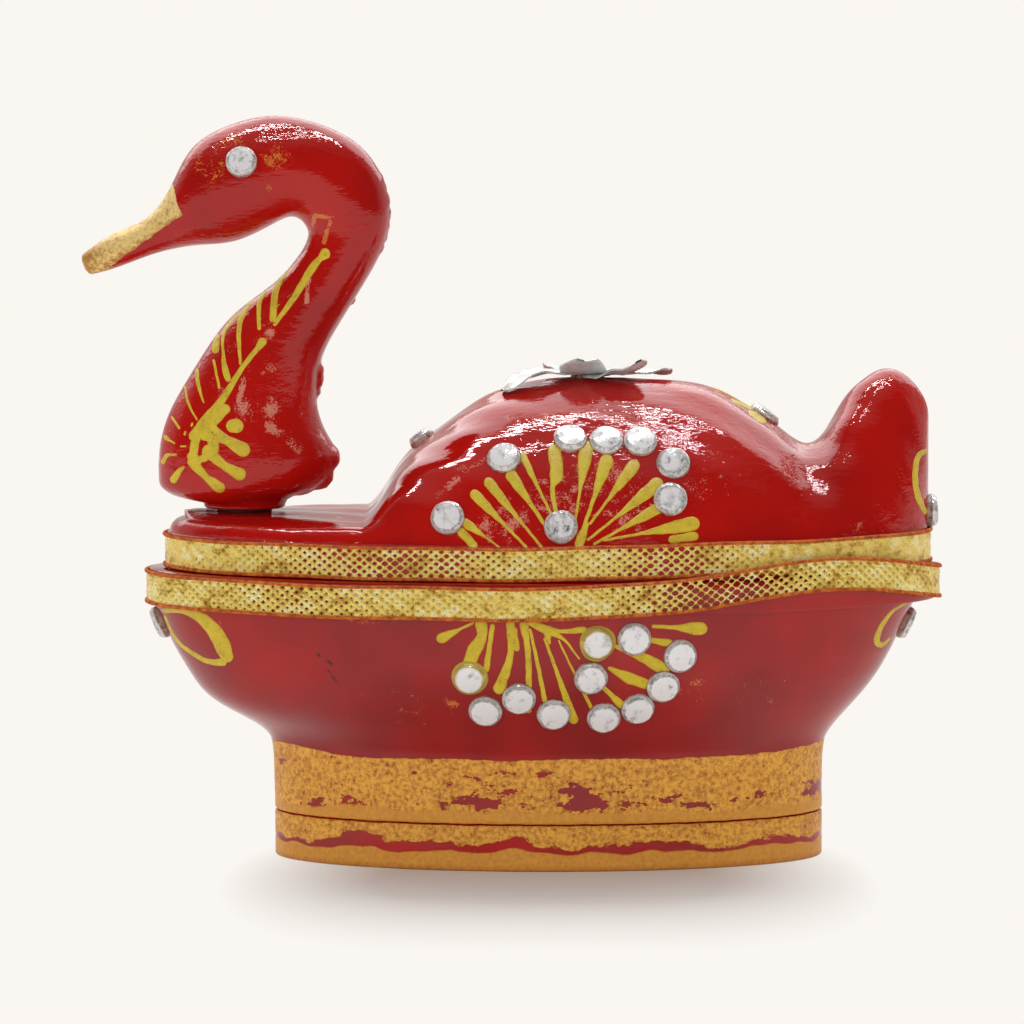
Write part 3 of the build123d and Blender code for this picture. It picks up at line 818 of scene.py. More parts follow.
near_ends = np.clip(np.minimum(lid_share, 1 - lid_share) * 60, 0, 1)[:, None, None]
lid_points = lid_points + (carved - lid_points) * from_band * near_ends * back_mask[None, :, None]
lid_scuffs = [
    (3.0, 55.0, 10.0, 6.0, 0.85), (-6.5, 51.0, 6.5, 3.4, 1.05), (9.0, 57.0, 5.0, 5.0, 1.05),
    (12.0, 52.0, 6.0, 4.0, 0.8), (-16.5, 54.5, -12.0, 58.5, 0.8, 0.65), (-14.0, 58.4, -8.5, 60.0, 0.8, 0.55),
    (4.0, 66.0, 26.0, 3.5, 0.30), (22.0, 57.0, 9.0, 6.5, 0.35), (46.0, 49.5, 7.0, 1.6, 0.5),
]
lid_finish = lacquered("lid_lacquer", deep=0.12, scuffs=lid_scuffs, ripple=0.10)
lid_faces = grid_faces(*lid_points.shape[:2])
lid = mesh_piece("lid_wood", lid_points, lid_faces, lid_finish, "lid", ["lid"])
drilled(lid, peg_radius + running_gap, lid_bottom - bore_past, lid_top + bore_past)

# ---------------------------------------------------------------------------------------------
# Painted strokes: thick yellow enamel laid by a brush on lid, hull and neck, as fans, leaves and
# a feather. Each stroke is raised, fat at the tip where the brush first pressed, and thin behind.
# ---------------------------------------------------------------------------------------------
paint_height = 0.15
paint_sunk = 0.12
paint_bite = 0.03
stroke_columns = 9
stroke_step = 0.16
fewest_rows = 18
most_rows = 72
# Every stroke is a row of (x, z, width) from its fat tip to its root
lid_fan_strokes = [
    [(-12.0, 51.1, 1.33), (-7.3, 47.8, 0.30)],
    [(-12.6, 49.8, 1.33), (-10.9, 48.0, 1.18)],
    [(-10.7, 55.1, 1.48), (-3.4, 47.8, 0.44)],
    [(-8.7, 56.8, 1.48), (-1.2, 47.8, 0.44)],
    [(-5.5, 57.8, 1.62), (-0.7, 50.9, 0.59)],
    [(-3.8, 60.4, 1.03), (0.2, 52.4, 0.44)],
    [(0.7, 61.1, 1.92), (0.9, 57.5, 1.92), (0.5, 56.4, 0.74), (0.9, 52.6, 0.60)],
    [(5.3, 61.5, 2.07), (3.7, 51.7, 0.44)],
    [(8.2, 59.8, 1.92), (5.0, 50.9, 0.59)],
    [(12.1, 59.1, 1.77), (5.8, 51.1, 0.44)],
    [(15.4, 56.5, 1.92), (5.5, 48.8, 0.44)],
    [(15.6, 53.2, 1.62), (6.4, 48.2, 0.44)],
    [(20.5, 50.9, 2.07), (7.8, 48.7, 0.44)],
    [(20.7, 49.1, 1.33), (17.6, 48.7, 1.18)],
    [(5.2, 50.9, 0.89), (4.2, 48.2, 1.33)],
]
hull_fan_strokes = [
    [(-15.5, 34.7, 1.48), (-11.0, 37.0, 0.44)],
    [(-11.4, 31.4, 1.92), (-10.7, 33.2, 2.07), (-9.7, 35.1, 1.48), (-9.8, 36.7, 1.77)],
    [(-9.1, 30.2, 0.89), (-8.2, 36.5, 0.74)],
    [(-7.2, 27.4, 1.77), (-5.6, 32.6, 0.89), (-5.6, 36.8, 1.33)],
    [(-4.7, 33.3, 0.89), (-5.0, 36.0, 0.74)],
    [(-3.0, 24.1, 0.89), (-3.3, 34.4, 0.89), (-3.7, 36.7, 1.33)],
    [(-0.7, 25.6, 0.74), (-1.8, 31.4, 0.59), (-2.8, 36.0, 0.44)],
    [(3.5, 22.6, 1.33), (1.0, 29.9, 0.59), (-0.7, 34.7, 0.44)],
    [(6.0, 24.4, 0.59), (3.6, 29.5, 0.37), (1.3, 34.4, 0.30)],
    [(4.2, 31.8, 0.30), (1.9, 34.7, 0.44), (-0.2, 35.9, 1.48), (-2.7, 37.0, 0.89)],
    [(0.0, 34.1, 0.44), (-0.5, 36.0, 1.03)],
    [(4.8, 36.0, 1.03), (1.6, 35.8, 0.59), (0.0, 36.1, 0.74)],
    [(10.3, 24.8, 1.18), (7.8, 27.4, 0.74)],
    [(13.8, 27.9, 1.48), (11.5, 28.8, 1.77), (8.6, 30.3, 0.59)],
    [(16.3, 30.1, 1.92), (14.2, 31.4, 1.62), (9.4, 33.6, 0.59)],
    [(17.1, 33.9, 1.18), (14.3, 34.4, 0.89)],
    [(21.7, 35.9, 1.92), (14.9, 36.4, 0.59)],
]
leaf_strokes = [
    [
        (-56.4, 36.7, 0.78), (-53.6, 37.2, 1.05), (-51.0, 36.5, 1.7), (-48.9, 34.8, 2.3), (-47.5, 32.5, 2.6),
        (-46.9, 30.9, 2.1),
    ],
    [
        (-47.5, 29.8, 1.2), (-49.7, 29.7, 0.87), (-52.0, 30.6, 0.8), (-53.9, 31.7, 0.7), (-55.4, 33.5, 0.6),
        (-56.3, 35.6, 0.5),
    ],
    [
        (52.4, 37.9, 0.45), (50.7, 37.2, 0.55), (49.1, 35.7, 0.75), (48.1, 33.8, 0.95), (48.0, 32.2, 1.0),
        (48.8, 31.8, 0.8), (49.9, 32.5, 0.45),
    ],
]
tail_strokes = [
    [
        (55.5, 59.9, 0.6), (54.4, 59.5, 0.9), (53.7, 58.0, 0.95), (53.6, 55.6, 0.95), (54.2, 53.0, 0.95),
        (55.3, 50.9, 0.7),
    ],
]
feather_strokes = [
    [(-32.7, 88.9, 1.62), (-33.4, 88.2, 0.89), (-34.2, 87.3, 1.18), (-36.6, 83.5, 1.03), (-40.0, 78.7, 0.59)],
    [
        (-41.8, 76.1, 1.33), (-42.5, 75.2, 0.81), (-44.7, 72.4, 0.74), (-48.2, 67.0, 1.18),
        (-50.8, 63.7, 1.6), (-51.7, 61.2, 1.3), (-52.0, 58.7, 1.3),
    ],
    [(-44.6, 60.6, 2.22), (-46.9, 61.9, 1.33), (-49.9, 63.2, 2.95)],
    [(-45.1, 57.0, 1.92), (-47.4, 58.3, 1.18), (-49.6, 60.2, 2.07)],
    [(-48.1, 55.0, 1.77), (-49.9, 56.4, 1.03), (-52.0, 58.6, 1.62)],
    [(-47.2, 66.4, 1.5), (-48.8, 65.2, 2.2), (-50.2, 63.6, 2.4)],
    [(-48.6, 62.6, 2.0), (-50.4, 63.4, 2.2), (-51.8, 62.4, 1.6)],
    [(-49.2, 61.0, 1.3), (-48.8, 62.6, 1.6)],
    [(-51.2, 58.9, 1.3), (-52.2, 59.4, 1.3)],
    [(-45.5, 64.0, 2.07), (-46.1, 64.0, 1.92)],
    [(-50.4, 59.2, 1.18), (-49.0, 60.5, 1.77)],
    [(-49.0, 62.1, 1.92), (-48.8, 60.7, 1.48)],
    [(-37.8, 87.2, 0.44), (-39.7, 84.3, 1.03), (-40.3, 79.5, 1.03)],
    [(-41.2, 84.1, 0.59), (-42.2, 82.2, 0.74), (-42.3, 78.1, 0.59)],
    [(-43.6, 81.9, 0.59), (-45.0, 79.5, 0.89), (-45.3, 77.3, 0.74), (-45.0, 73.0, 0.44)],
    [(-45.5, 80.0, 0.44), (-47.6, 77.3, 0.59), (-47.6, 74.6, 0.44), (-47.2, 71.9, 1.03), (-46.8, 70.8, 0.89)],
    [(-48.7, 76.5, 1.03), (-48.8, 74.9, 1.18)],
    [(-49.0, 73.3, 0.44), (-48.1, 69.5, 0.44)],
    [(-51.6, 71.6, 0.74), (-51.2, 69.5, 0.59), (-50.4, 67.3, 0.30)],
    [(-53.4, 69.2, 0.44), (-52.7, 67.0, 0.44), (-51.4, 64.8, 0.30)],
    [(-55.2, 64.8, 0.44), (-54.1, 63.5, 0.44)],
    [(-56.2, 61.9, 0.74), (-54.8, 61.2, 0.30)],
    [(-53.8, 60.8, 0.30), (-53.1, 60.9, 0.30)],
    [(-53.1, 62.9, 0.38), (-53.2, 62.6, 0.38)],
    [(-52.1, 64.2, 0.38), (-52.2, 63.9, 0.38)],
    [(-56.6, 58.3, 0.74), (-56.0, 59.3, 0.59), (-54.5, 59.6, 0.30)],
    [(-54.9, 55.9, 1.18), (-54.1, 57.1, 0.89), (-53.4, 57.8, 0.44)],
]


def stroke_shape(stations, draw):
    """A stroke's flat grid (rows, columns, 2) and its cap, which rises from 0 at each end. The
    line is a natural cubic through the stations and runs on by half a width at both ends, where
    the width closes like a half circle. A few slow sine waves make the edges uneven."""
    stations = np.array(stations)
    ahead = stations[0, :2] - stations[1, :2]
    behind = stations[-1, :2] - stations[-2, :2]
    first = stations[0] + [*(unit(ahead) * stations[0, 2] / 2), 0]
    last = stations[-1] + [*(unit(behind) * stations[-1, 2] / 2), 0]
    stations = np.concatenate([[first], stations, [last]])
    run = run_along(stations[:, :2])
    count = int(np.clip(run[-1] / stroke_step, fewest_rows, most_rows))
    at = run[-1] * (1 - np.cos(np.linspace(0, np.pi, count))) / 2
    line = smooth_through(run, stations[:, :2], at)
    # The paint thins out behind the tip sooner than an even slope would
    width = np.interp(at, run, stations[:, 2])
    if len(stations) == 4:
        share = eased(((at - run[1]) / (run[2] - run[1]) - 0.05) / 0.62)
        width = stations[0, 2] + (stations[-1, 2] - stations[0, 2]) * share
    width = width * (1 + 0.03 * np.sin(at * draw.uniform(1.5, 3.5) + draw.uniform(0, 6)))
    start = np.clip(at / (stations[0, 2] / 2), 0, 1)
    end = np.clip((run[-1] - at) / (stations[-1, 2] / 2), 0, 1)
    cap = np.sqrt(1 - (1 - start) ** 2) * np.sqrt(1 - (1 - end) ** 2)
    ahead = unit(np.gradient(line, axis=0))
    across = ahead[:, ::-1] * [-1, 1]
    place = np.linspace(-1, 1, stroke_columns)
    wobble = 0.02 * np.sin(at * draw.uniform(2, 4) + draw.uniform(0, 6))
    off = (width * cap / 2)[:, None] * place + wobble[:, None]
    grid = line[:, None] + across[:, None] * off[..., None]
    return grid, cap * np.clip(width / 1.1, 0.35, 1)


def on_surface(flat, carrier, axes, start):
    """Slide points of the plane (its two axes in the list) onto the carrier along the third axis,
    from start. A point that misses goes to the nearest place on the carrier."""
    third = ({0, 1, 2} - set(axes)).pop()
    points = np.full((len(flat), 3), float(start))
    points[:, axes] = flat
    mesh = bpy.data.meshes.new("draped")
    mesh.from_pydata((points * MM).tolist(), [], [])
    sheet = in_scene("draped", mesh)
    wrap = sheet.modifiers.new("slide", "SHRINKWRAP")
    wrap.target = carrier
    wrap.wrap_method = "PROJECT"
    wrap.use_project_x, wrap.use_project_y, wrap.use_project_z = (third == axis for axis in range(3))
    wrap.use_positive_direction = start < 0
    wrap.use_negative_direction = start > 0
    settle = sheet.modifiers.new("settle", "SHRINKWRAP")
    settle.target = carrier
    settle.wrap_method = "NEAREST_SURFACEPOINT"
    evaluated = sheet.evaluated_get(bpy.context.evaluated_depsgraph_get())
    found = np.zeros(len(flat) * 3)
    evaluated.data.vertices.foreach_get("co", found)
    bpy.data.objects.remove(sheet)
    return found.reshape(-1, 3) / MM


def surface_and_normal(flat, carrier, axes, start):
    """Points on the carrier and their outward normals, from two neighbours 0.05 mm away."""
    nudge = 0.05
    flat = np.asarray(flat, float)
    shifted = np.concatenate([flat, flat + [nudge, 0], flat + [0, nudge]])
    here, right, up = np.split(on_surface(shifted, carrier, axes, start), 3)
    normal = np.cross(right - here, up - here)
    normal /= np.linalg.norm(normal, axis=1, keepdims=True) + 1e-12
    third = ({0, 1, 2} - set(axes)).pop()
    return here, normal * np.where(normal[:, third : third + 1] * start < 0, -1, 1)


def painted(name, strokes, carrier, body, axes=(0, 2), starts=(-40, 40), seed=1):
    """Raise strokes on a carrier, once from each start. Across a stroke the paint stands as a
    flat arch: the square root of 1 less the fourth power of the way from its middle to its edge. Its
    underside lies a little inside the wood."""
    points, faces, count = [], [], 0
    for start in starts:
        draw = np.random.default_rng(seed)
        shapes = [stroke_shape(stroke, draw) for stroke in strokes]
        flat = np.concatenate([grid.reshape(-1, 2) for grid, _ in shapes])
        here, normal = surface_and_normal(flat, carrier, list(axes), start)
        done = 0
        for grid, cap in shapes:
            rows, columns = grid.shape[:2]
            place = slice(done, done + rows * columns)
            done += rows * columns
            base = here[place].reshape(rows, columns, 3)
            out = normal[place].reshape(rows, columns, 3)
            across = np.linspace(-1, 1, columns)
            crown = ((1 - 0.97 * across**4) ** 0.5)[None, :, None] * cap[:, None, None]
            top = base + out * (paint_height * crown - paint_bite)
            bottom = base[:, ::-1] - out[:, ::-1] * (paint_bite + paint_sunk * cap[:, None, None])
            ring = np.concatenate([top, bottom], axis=1)
            points.append(ring.reshape(-1, 3))
            faces += grid_faces(rows, 2 * columns, start=count)
            count += rows * 2 * columns
    mesh_piece(name, np.concatenate(points), faces, paint_finish, body)


enamel = Finish("yellow_enamel", Roughness=0.45, IOR=1.45)
enamel_tone = enamel.noise(1.6, 3.0, 0.6).ramp(0.3, 0.7)
enamel_grit = enamel.noise(0.22, 2.0, 0.6)
enamel_colour = enamel.mix((0.62, 0.42, 0.016), (0.76, 0.57, 0.026), enamel_tone)
enamel_colour = enamel.mix(enamel_colour, (0.80, 0.68, 0.12), enamel_grit.ramp(0.56, 0.7) * 0.4)
enamel_worn = (enamel.noise(0.5, 3.0, 0.7) + (enamel_tone - 0.5) * 0.10).ramp(0.40, 0.34)
enamel_colour = enamel.mix(enamel_colour, (0.36, 0.17, 0.012), enamel_worn * 0.6)
enamel.set(Base_Color=enamel_colour, Normal=enamel.bump(enamel_tone * 0.5 + enamel_grit * 0.6, 0.05))
paint_finish = enamel.material
painted("lid_fan_paint", lid_fan_strokes, lid, "lid", seed=4)
painted("hull_fan_paint", hull_fan_strokes, hull, "base", seed=5)
painted("hull_leaf_paint", leaf_strokes, hull, "base", seed=6)
painted("tail_leaf_paint", tail_strokes, lid, "lid", seed=7)
painted("feather_paint", feather_strokes, neck, "base", starts=(-11, 11), seed=8)
# A five-petal flower round the stone on the rear slope of the back
flower_centre = 31.2
flower_petals = ((98, 5.6, 2.3), (140, 5.2, 1.9), (185, 6.6, 1.7), (222, 5.0, 2.2), (262, 5.6, 2.9))
flower_strokes = []
for petal_turn, reach, broad in flower_petals:
    spread_x, spread_y = np.cos(np.radians(petal_turn)), np.sin(np.radians(petal_turn))
    stations = ((reach, broad * 0.8), (0.7 * reach, broad), (1.2, 0.9))
    flower_strokes.append([(flower_centre + far * spread_x, far * spread_y, wide) for far, wide in stations])
painted("back_flower_paint", flower_strokes, lid, "lid", axes=(0, 1), starts=(90,), seed=9)

# ---------------------------------------------------------------------------------------------
# Gold ribbons: a flat net of foil between two corded orange edges, glued round each rim. They
# were laid by hand, so they rise and fall a little, and the net is pulled open in some places.
# ---------------------------------------------------------------------------------------------
ribbon_width = 5.0
ribbon_gap = 0.08
net_margin = 0.12
net_stand = 0.24
rim_steps = 4001
mesh_pitch = 1.50
mesh_height = 1.16
foil_sheet = 0.10
least_hole = 0.10
widest_hole = 0.82
cord_pitch = 0.80
cord_steps = 7
cord_inset = 0.28
cord_stand = 0.31
cord_sides = 6
ply_radius = 0.17
ply_reach = (0.16, 0.15)


def walk_round(rim):
    """Turns round an oval rim, and the lengths of the steps between them."""
    bow, stern, half = rim
    turn = np.linspace(0, 2 * np.pi, rim_steps)
    return turn, np.hypot(np.diff((stern - bow) / 2 * np.cos(turn)), np.diff(half * np.sin(turn)))


def ribbon_path(rim, wave, along, across, out):
    """Points on a ribbon round an oval rim: along in millimetres from the stern by the far side,
    across up from its middle line and out from the rim. wave(x, y) gives the middle line's height."""
    bow, stern, half = rim
    reach = (stern - bow) / 2
    turn, steps = walk_round(rim)
    run = np.concatenate([[0], np.cumsum(steps)])
    at = np.interp(np.mod(along, run[-1]), run, turn)
    normal_x, normal_y = np.cos(at) / reach, np.sin(at) / half
    length = np.hypot(normal_x, normal_y)
    x = reach * np.cos(at) + out * normal_x / length + (bow + stern) / 2
    y = half * np.sin(at) + out * normal_y / length
    return np.stack([x, y, wave(x, y) + across], axis=-1)


def tube_faces(tubes, rows, sides, closed):
    """Quads for a stack of point rings numbered as (tube, row, side), each tube being closed into
    a loop or left open at its ends."""
    index = np.arange(tubes * rows * sides).reshape(tubes, rows, sides)
    if closed:
        index = np.concatenate([index, index[:, :1]], axis=1)
    index = np.concatenate([index, index[:, :, :1]], axis=2)
    corners = [index[:, :-1, :-1], index[:, :-1, 1:], index[:, 1:, 1:], index[:, 1:, :-1]]
    return np.stack(corners, axis=-1).reshape(-1, 4).tolist()


def foil_net(name, rim, wave, opening, body, replaced):
    """Foil cut into a net: diamond cells in staggered rows, each with a hole that is opening(x)
    of the cell's size, rounder than a diamond. The foil stands proud where four cells meet, is
    dented at random, and its front and back come together along both edges of the ribbon. The
    mark that each cell carries is a painted highlight and painted shade: how much light the cell
    seems to have caught, from 0 to 1."""
    length = walk_round(rim)[1].sum()
    count = int(round(length / mesh_pitch))
    pitch = length / count
    reach = ribbon_width / 2 - net_margin
    steps = int(np.ceil(2 * reach / mesh_height))
    row, place = np.meshgrid(np.arange(-steps, steps + 1), np.arange(count), indexing="ij")
    along = ((place + 0.5 * (row % 2)) * pitch).ravel()[:, None]
    across = (row * mesh_height / 2).ravel()[:, None]
    draw = np.random.default_rng(count)
    middle = ribbon_path(rim, wave, along, across, 0 * along)
    hole = opening(middle[..., 0]) * draw.uniform(0.7, 1.3, along.shape)
    shut = (hole < least_hole) | (np.abs(across) + hole * mesh_height / 2 > reach)
    hole = np.where(shut, 0, np.clip(hole, 0, widest_hole))
    corner_x = np.array([1, 0.5, 0, -0.5, -1, -0.5, 0, 0.5])
    corner_y = np.array([0, 0.5, 1, 0.5, 0, -0.5, -1, -0.5])
    fuller = 1 + 0.22 * (np.arange(8) % 2)
    outer_x, outer_y = along + corner_x * pitch / 2, across + corner_y * mesh_height / 2
    inner_x = along + corner_x * fuller * hole * pitch / 2
    inner_y = across + corner_y * fuller * hole * mesh_height / 2
    rings = []
    for x, y, proud, depth in (
        (outer_x, outer_y, 0.05 * (1 - np.arange(8) % 2), 0),
        (inner_x, inner_y, 0, 0),
        (inner_x, inner_y, 0, foil_sheet),
        (outer_x, outer_y, 0, foil_sheet),
    ):
        y = np.clip(y, -reach, reach)
        dent = 0.04 * np.sin(x * 2.3 + y * 3.1) + 0.04 * np.sin(x * 5.1 - y * 2.3 + 1)
        dent = dent + 0.06 * np.sin(x * 0.7)
        edge = np.abs(y) > reach - 1e-6
        out = ribbon_gap + net_stand + np.where(edge, 0, dent + proud - depth)
        rings.append(ribbon_path(rim, wave, x + 0 * y, y, out))
    rings = np.stack(rings, axis=1)
    faces = tube_faces(*rings.shape[:3], closed=False)
    # Painted highlight and shade for each cell: slow waves along the ribbon and a random share
    painted_glint = 0.5 + 0.12 * np.sin(along * 0.27 + 1 + across) + 0.10 * np.sin(along * 0.61 + 2 - across)
    painted_glint = (painted_glint + draw.uniform(-0.30, 0.30, along.shape)) * np.ones(rings.shape[1] * rings.shape[2])
    marks = {"painted_glint": painted_glint.ravel()}
    mesh_piece(name, rings.reshape(-1, 3), faces, foil_gold, body, replaced, marks)


def corded_edges(name, rim, wave, body):
    """Two plies of orange thread twisted round each other along both edges of a ribbon."""
    length = walk_round(rim)[1].sum()
    turns = int(round(length / cord_pitch))
    along = np.linspace(0, length, turns * cord_steps, endpoint=False)[:, None]
    spin = 2 * np.pi * turns * along / length
    side = full_turn(cord_sides)[None, :]
    rings = []
    for edge in (-1, 1):
        for ply in (0, np.pi):
            middle = edge * (ribbon_width / 2 - cord_inset) + ply_reach[0] * np.cos(spin + ply)
            across = middle + ply_radius * np.cos(side)
            off = ribbon_gap + cord_stand + ply_reach[1] * np.sin(spin + ply)
            out = off + ply_radius * np.sin(side)
            rings.append(ribbon_path(rim, wave, along + 0 * side, across, out))
    rings = np.stack(rings)
    faces = tube_faces(*rings.shape[:3], closed=True)
    mesh_piece(name, rings.reshape(-1, 3), faces, edge_thread, body)


foil = Finish("gold_foil", Metallic=0.40)
foil_grit = foil.noise(0.42, 2.0, 0.7)
foil_wave = foil.noise(4.0, 2.0, 0.5)
# Cells are painted brown where they stand for shade and pale cream where they glint: painted shade and
# painted highlight
painted_glint = foil.mark("painted_glint") + (foil_grit - 0.5) * 0.6
foil_colour = foil.mix((0.52, 0.28, 0.035), (0.90, 0.67, 0.15), painted_glint.ramp(0.12, 0.42))
foil_colour = foil.mix(foil_colour, (1.0, 0.90, 0.46), painted_glint.ramp(0.58, 0.85) * 0.8)
foil_bump = foil.bump(foil_grit + foil_wave * 0.4, 0.12)
foil.set(Base_Color=foil_colour, Roughness=foil_grit * 0.35 + 0.12, Normal=foil_bump)
foil_gold = foil.material
thread = Finish("orange_thread", Roughness=0.75)
thread_tone = thread.noise(0.8, 3.0, 0.6)
thread.set(
    Base_Color=thread.mix((0.46, 0.06, 0.006), (0.82, 0.24, 0.02), thread_tone.ramp(0.38, 0.62)),
    Normal=thread.bump(thread.noise(0.12, 2.0, 0.6), 0.03),
)
edge_thread = thread.material


# How high each ribbon's middle line stands, as pairs of x and height
lid_heights = np.array([(-57, 45.3), (-30, 45.3), (2, 45.35), (16, 45.7), (38, 45.86), (57, 46.1)])
base_heights = np.array(
    [
        (-60, 40.0), (-50, 39.95), (-35, 39.8), (-15, 39.75), (2, 39.8), (12, 40.3), (22, 41.1),
        (32, 42.5), (42, 43.3), (50, 42.5), (58, 40.7),
    ]
)
base_level = 39.95


def middle_line(heights, x):
    """The height at x, as a natural cubic through the pairs."""
    return smooth_through(heights[:, 0], heights[:, 1], x.ravel()).reshape(x.shape)


def lid_wave(x, y):
    """Height of the lid ribbon's middle line: level, and a little higher towards the tail."""
    return middle_line(lid_heights, x) + 0.06 * np.sin(x * 0.3)


def base_wave(x, y):
    """Height of the hull ribbon's middle line: level, with a long swell on the near rear quarter
    where it has come away from the rim, which ends behind the stern."""
    line = middle_line(base_heights, x)
    far = eased(y / 20 + 0.36)
    return line - far * np.clip(line - base_level, 0, None) + 0.06 * np.sin(x * 0.25)


def bell(x, middle, reach):
    """1 at the middle, falling as a bell curve does by the square of the distance over the reach."""
    return np.exp(-(((x - middle) / reach) ** 2))


def lid_opening(x):
    """Hole size on the lid ribbon: closed at both ends, and open from the neck to the fan."""
    return 0.06 + 0.50 * bell(x, -22, 17) + 0.52 * bell(x, 17, 9)


def base_opening(x):
    """Hole size on the hull ribbon: nearly closed, and at its largest behind the fan."""
    return 0.12 + 0.25 * bell(x, -37, 11) + 0.66 * bell(x, 25, 12)


foil_net("lid_ribbon_net", lid_oval, lid_wave, lid_opening, "lid", ["lid_ribbon"])
corded_edges("lid_ribbon_edges", lid_oval, lid_wave, "lid")
foil_net("base_ribbon_net", rim_oval, base_wave, base_opening, "base", ["base_ribbon"])
corded_edges("base_ribbon_edges", rim_oval, base_wave, "base")

# ---------------------------------------------------------------------------------------------
# Stones: flat-backed acrylic gems with a foil backing, each pressed by hand into a dab of glue,
# so that they lean a little. They sit where the frame has its plain stones.
# ---------------------------------------------------------------------------------------------
stone_radius = 2.4
gem_corners = 24
# Radius as a share of the stone's, and height
gem_profile = (
    (0.94, 0.0), (1.0, 0.10), (1.0, 0.45), (0.97, 0.55),
    (0.86, 0.90), (0.82, 0.98), (0.50, 1.12), (0.22, 1.18),
)
# How near a stone must be to a listed place to have paint round it, or spoilt foil
paint_reach = 1.6
spoilt_reach = 1.8
spoilt = 0.95
glue_corners = 36


def stone_seats(node):
    """The middle of each stone's back and the way that it faces, read from a frame node: a stone
    is a loose part, its widest ring is its back, and it faces the side where it is narrower."""
    work = bmesh.new()
    work.from_mesh(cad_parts[node].data)
    bmesh.ops.remove_doubles(work, verts=work.verts, dist=0.01 * MM)
    left = set(work.verts)
    seats = []
    while left:
        heap = [left.pop()]
        part = []
        while heap:
            vert = heap.pop()
            part.append(vert.co)
            for edge in vert.link_edges:
                other = edge.other_vert(vert)
                if other in left:
                    left.remove(other)
                    heap.append(other)
        points = np.array(part) / MM
        middle = points.mean(axis=0)
        axis = np.linalg.svd(points - middle)[2][2]
        height = (points - middle) @ axis
        radius = np.linalg.norm(points - middle - np.outer(height, axis), axis=1)
        if radius[height > np.median(height)].mean() > radius[height < np.median(height)].mean():
            axis, height = -axis, -height
        seats.append((middle + axis * height.min(), axis))
    work.free()
    return sorted(seats, key=lambda seat: tuple(seat[0]))


def facing(axis):
    """Two unit vectors square to an axis and to each other."""
    helper = np.array([0, 0, 1.0]) if abs(axis[2]) < 0.8 else np.array([1.0, 0, 0])
    right = np.cross(helper, axis)
    right /= np.linalg.norm(right)
    return right, np.cross(axis, right)


def gem(draw):
    """A flat rose-cut stone: a girdle of many corners, a slanting ring of facets, and a broad table
    that bulges a little. The third value says how far out each point lies, 0 at the middle."""
    rings = []
    turn = full_turn(gem_corners)
    zigzag = 0.015 * (-1) ** np.arange(gem_corners)
    for place, (radius, height) in enumerate(gem_profile):
        wear = 1 + draw.normal(0, 0.008, gem_corners) + (zigzag if place == 4 else 0)
        x, y = radius * wear * np.cos(turn), radius * wear * np.sin(turn)
        rings.append(np.stack([x * stone_radius, y * stone_radius, height + 0 * turn], axis=-1))
    points = np.concatenate(rings)
    points[:, 2] += draw.normal(0, 0.012, len(points))
    first = list(range(gem_corners))
    last = [len(points) - gem_corners + corner for corner in first]
    faces = [first[::-1]] + grid_faces(len(gem_profile), gem_corners) + [last]
    return points, faces, np.hypot(points[:, 0], points[:, 1]) / stone_radius


def glue_dab(draw, spread, stand):
    """A ring of glue squeezed out round a stone's back, down to the wood: a low rounded lip of
    uneven width. Its third value is 1 for every point, since all
    of them lie outside the stone."""
    turn = full_turn(glue_corners)
    uneven = sum(draw.uniform(0.1, 0.4) * spread * np.sin(k * turn + draw.uniform(0, 6)) for k in (1, 2, 3))
    deep = -0.25 - max(stand, 0)
    far = 1 + spread
    profile = [(0.85, 0.2), (0.99, 0.26), (1 + spread * 0.6, 0.2), (far, 0.05), (far, deep), (0.85, deep)]
    rings = []
    for radius, height in profile + profile[:1]:
        reach = stone_radius * (radius + uneven * (radius > 1))
        rings.append(np.stack([reach * np.cos(turn), reach * np.sin(turn), height + 0 * turn], axis=-1))
    return np.concatenate(rings), grid_faces(len(rings), len(turn)), np.full(len(rings) * len(turn), 1.0)


